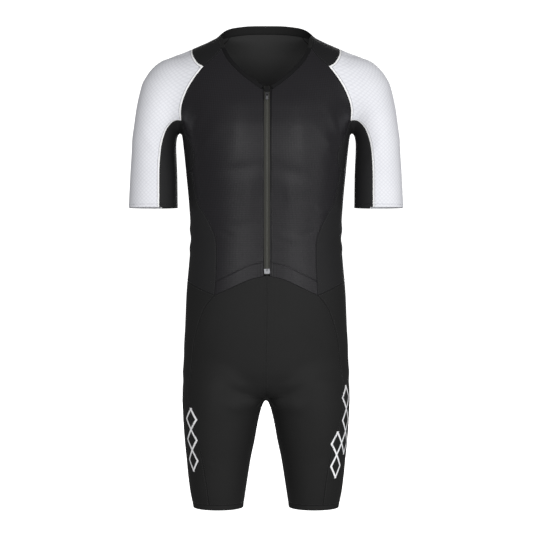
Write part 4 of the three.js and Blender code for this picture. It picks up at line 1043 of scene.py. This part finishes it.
def rods(centres, along, up, long, radius, sides=4, sink=0.35):
    # Rounded rods: a ring of the given sides at four places along each, the outer two smaller and sunk
    at = np.array([-0.5, -0.3, 0.3, 0.5]) * long
    size = np.array([0.55, 1.0, 1.0, 0.55]) * radius
    drop = np.array([-sink, 0.0, 0.0, -sink])
    angle = (np.arange(sides) + 0.5) * 2 * np.pi / sides
    out = np.cross(along, up)
    ring = (size[None, :, None, None] * (np.cos(angle)[None, None, :, None] * out[:, None, None, :]
                                        + np.sin(angle)[None, None, :, None] * up[:, None, None, :]))
    spine = centres[:, None] + at[None, :, None] * along[:, None] + drop[None, :, None] * up[:, None]
    points = (spine[:, :, None] + ring).reshape(-1, 3)
    each = gridFaces(4, sides, 0, True)
    starts = np.arange(len(centres)) * 4 * sides
    sideFaces = (each[None] + starts[:, None, None]).reshape(-1, 4)
    caps = np.stack([np.arange(sides), np.arange(4 * sides - 1, 3 * sides - 1, -1)])
    capFaces = (caps[None] + starts[:, None, None]).reshape(-1, sides)
    return points, sideFaces, capFaces


def rodPiece(name, centres, along, up, long, radius, look, sides=4, sink=0.35):
    points, quads, caps = rods(centres, along, up, long, radius, sides, sink)
    # The first rod tells whether the faces point inwards
    if isTurned(points - centres[0], quads[:len(quads) // len(centres)]):
        quads = quads[:, ::-1]
    first = points[caps[0]]
    if np.cross(first[1] - first[0], first[2] - first[0]) @ (first.mean(0) - centres[0]) < 0:
        caps = caps[:, ::-1]
    piece = makeObject(name, lean(points), quads.tolist() + caps.tolist(), materials[look])
    print(f"{name}: {len(centres)}")


def upright(up, along):
    # The direction outwards, set square to the rod
    return unit(up - (up * along).sum(-1, keepdims=True) * along)


def stitchesAlong(run, away, spare=1.5):
    # Middles and directions of stitches beside a run of points, so far to its left seen from outside
    if away:
        run = settle(run + away * unit(np.cross(outwards(run), np.gradient(run, axis=0))), 4)
    lengths = runLengths(run)
    number = max(int((lengths[-1] - 2 * spare) / stitch["pitch"]), 1)
    at = spare + (np.arange(number) + 0.5) * (lengths[-1] - 2 * spare) / number
    centres, ahead, behind = (pointsAt(run, lengths, at + step) for step in (0, 0.5, -0.5))
    return centres, unit(ahead - behind)


# Seam, distance to its left and colour of the thread. The left is seen from outside, going down the seam.
apart = stitch["apart"]
stitchRuns = [
    ("raglan", apart + 0.5, "white"), ("raglan", -apart, "dark"), ("raglanBack", -apart - 0.5, "white"),
    ("raglanBack", apart, "dark"), ("shoulder", -apart - 0.5, "white"), ("shoulder", apart, "dark"),
    ("sleeveFront", apart + 0.5, "white"), ("sleeveFront", -apart, "dark"),
    ("sleeveBack", -apart - 0.5, "white"), ("sleeveBack", apart, "dark"),
    *[(name, side * apart, "dark") for side in (-1, 1) for name in (
        "gussetFront", "gussetBack", "gussetHem", "sideFront", "sideBack", "waistSide", "waistBack", "sideLeg",
        "inseam", "yoke", "yokeBack", "hem")],
    ("centreFront", apart, "dark"), ("centreBack", apart, "dark"),  # their mirror images are the other side's
    ("hem", 28.0, "dark"), ("hem", 25.4, "dark"), ("zipSide", 4.5, "dark"), ("boxInner", 0, "dark"),
    ("boxOuter", 0, "dark"),
    ("legFront", 2.5, "dark"), ("legBack", -2.5, "dark"), ("cuffInner", -6.0, "dark"), ("cuffOuter", 6.0, "white"),
    ("neckSeamFront", 1.5, "dark"), ("neckSeamBack", -1.2, "dark"), ("neckSeamSide", -1.2, "dark"),
]

for name, key in (("boxInner", "inner"), ("boxOuter", "outer")):
    # From the top of the turned hem down to its slanting edge
    bottom = boxEnds["bottom"] - boxEnds["slant"] * (boxEnds[key] - boxEnds["inner"])
    rail[name] = [(uprightRun(boxEnds[key], -100.0, boxEnds["top"], bottom, 30, 8, 0), 4)]


def makeStitches():
    found = {"dark": [], "white": []}
    for name, away, colour in stitchRuns:
        found[colour].append(stitchesAlong(allPoints(rail[name]), away))
    for colour, runs in found.items():
        centres, along = (np.concatenate(part) for part in zip(*runs))
        centres, along = (np.concatenate([part, part * (-1, 1, 1)]) for part in (centres, along))
        up = upright(outwards(centres), along)
        rodPiece(f"{colour}_stitches", centres + up * stitch["lift"], along, up, stitch["long"], stitch["radius"],
                 f"{colour}Thread")


def makeCoil():
    # Turns of the coil lie across the zip, taken in turn from each tape
    run = atX(zipRun[2:], 0)
    lengths = runLengths(run)
    at = np.arange(1.0, lengths[-1] - 1, coilLook["pitch"])
    centres = pointsAt(run, lengths, at)
    centres[:, 0] += coilLook["shift"] * (-1) ** np.arange(len(at))
    across = np.tile([1.0, 0, 0], (len(at), 1))
    rodPiece("zip_teeth", centres, across, upright(outwards(centres), across), coilLook["long"],
             coilLook["radius"], "coil", sides=6, sink=0.2)


makeStitches()
makeCoil()

# Hard pieces keep their solids and get their finishes

for node, look in (("zip_slider", "enamel"), ("zip_pull", "steel"), ("zip_stop", "satin")):
    slots = bpy.data.objects[node].data.materials
    slots.clear()
    slots.append(materials[look])

# Stage: pale floor that curves up all round, and soft light from the front

stage = {"floor": -1.03, "flat": 4.4, "bend": 1.2, "high": 4.0, "around": 96}


def makeStage():
    # Profile turned about the upright axis: flat floor, a quarter turn, an upright wall
    angle = np.linspace(0, np.pi / 2, 16)
    reach = np.concatenate([[0.02], stage["flat"] + stage["bend"] * np.sin(angle), [stage["flat"] + stage["bend"]]])
    height = np.concatenate([[0], stage["bend"] - stage["bend"] * np.cos(angle), [stage["high"]]]) + stage["floor"]
    turn = np.linspace(0, 2 * np.pi, stage["around"], endpoint=False)
    points = np.stack([reach[:, None] * np.cos(turn), reach[:, None] * np.sin(turn),
                       np.broadcast_to(height[:, None], (len(reach), len(turn)))], axis=-1).reshape(-1, 3)
    faces = gridFaces(len(reach), len(turn), 0, True).tolist() + [list(range(len(turn)))]
    mesh = bpy.data.meshes.new("floor")
    mesh.from_pydata(points.tolist(), [], faces)
    mesh.polygons.foreach_set("use_smooth", [True] * len(faces))
    # Matt white studio paint, evenly lit, so that it shows no edge
    mesh.materials.append(startMaterial("painted_studio_floor", {
        "Roughness": 0.9, "Base Color": linear("#f4f4f4"), "Specular IOR Level": 0.0,
        "Emission Color": (1, 1, 1, 1), "Emission Strength": 1.0})[0])
    floor = bpy.data.objects.new("floor", mesh)
    bpy.context.collection.objects.link(floor)
    floor.visible_diffuse = floor.visible_glossy = floor.visible_shadow = False


lights = [
    {"name": "key", "place": (1.2, -3.0, -0.2), "wide": 0.5, "tall": 1.8, "power": 37},
    {"name": "fill", "place": (-0.9, -3.1, -0.2), "wide": 0.5, "tall": 1.8, "power": 35.5},
    {"name": "side", "place": (2.4, -2.0, -0.3), "wide": 0.8, "tall": 1.8, "power": 17},
    {"name": "rear", "place": (0.4, 3.2, 0.6), "wide": 2.2, "tall": 2.0, "power": 60},
]
lightAim = (0, 0, -0.45)
skyPower = 0.25


def makeLights():
    for light in lights:
        data = bpy.data.lights.new(light["name"], "AREA")
        data.shape, data.size, data.size_y, data.energy = "RECTANGLE", light["wide"], light["tall"], light["power"]
        lamp = bpy.data.objects.new(light["name"], data)
        lamp.location = light["place"]
        away = np.array(light["place"]) - np.array(lightAim)
        flatAway = np.hypot(away[0], away[1])
        lamp.rotation_euler = (np.arctan2(flatAway, away[2]), 0, np.arctan2(away[0], -away[1]))
        bpy.context.collection.objects.link(lamp)
    world = bpy.data.worlds.new("studio")
    world.use_nodes = True
    world.node_tree.nodes["Background"].inputs[0].default_value = (1, 1, 1, 1)
    world.node_tree.nodes["Background"].inputs[1].default_value = skyPower
    bpy.context.scene.world = world
    bpy.context.scene.view_settings.view_transform = "Standard"


makeStage()
makeLights()
print("stage and lights made")
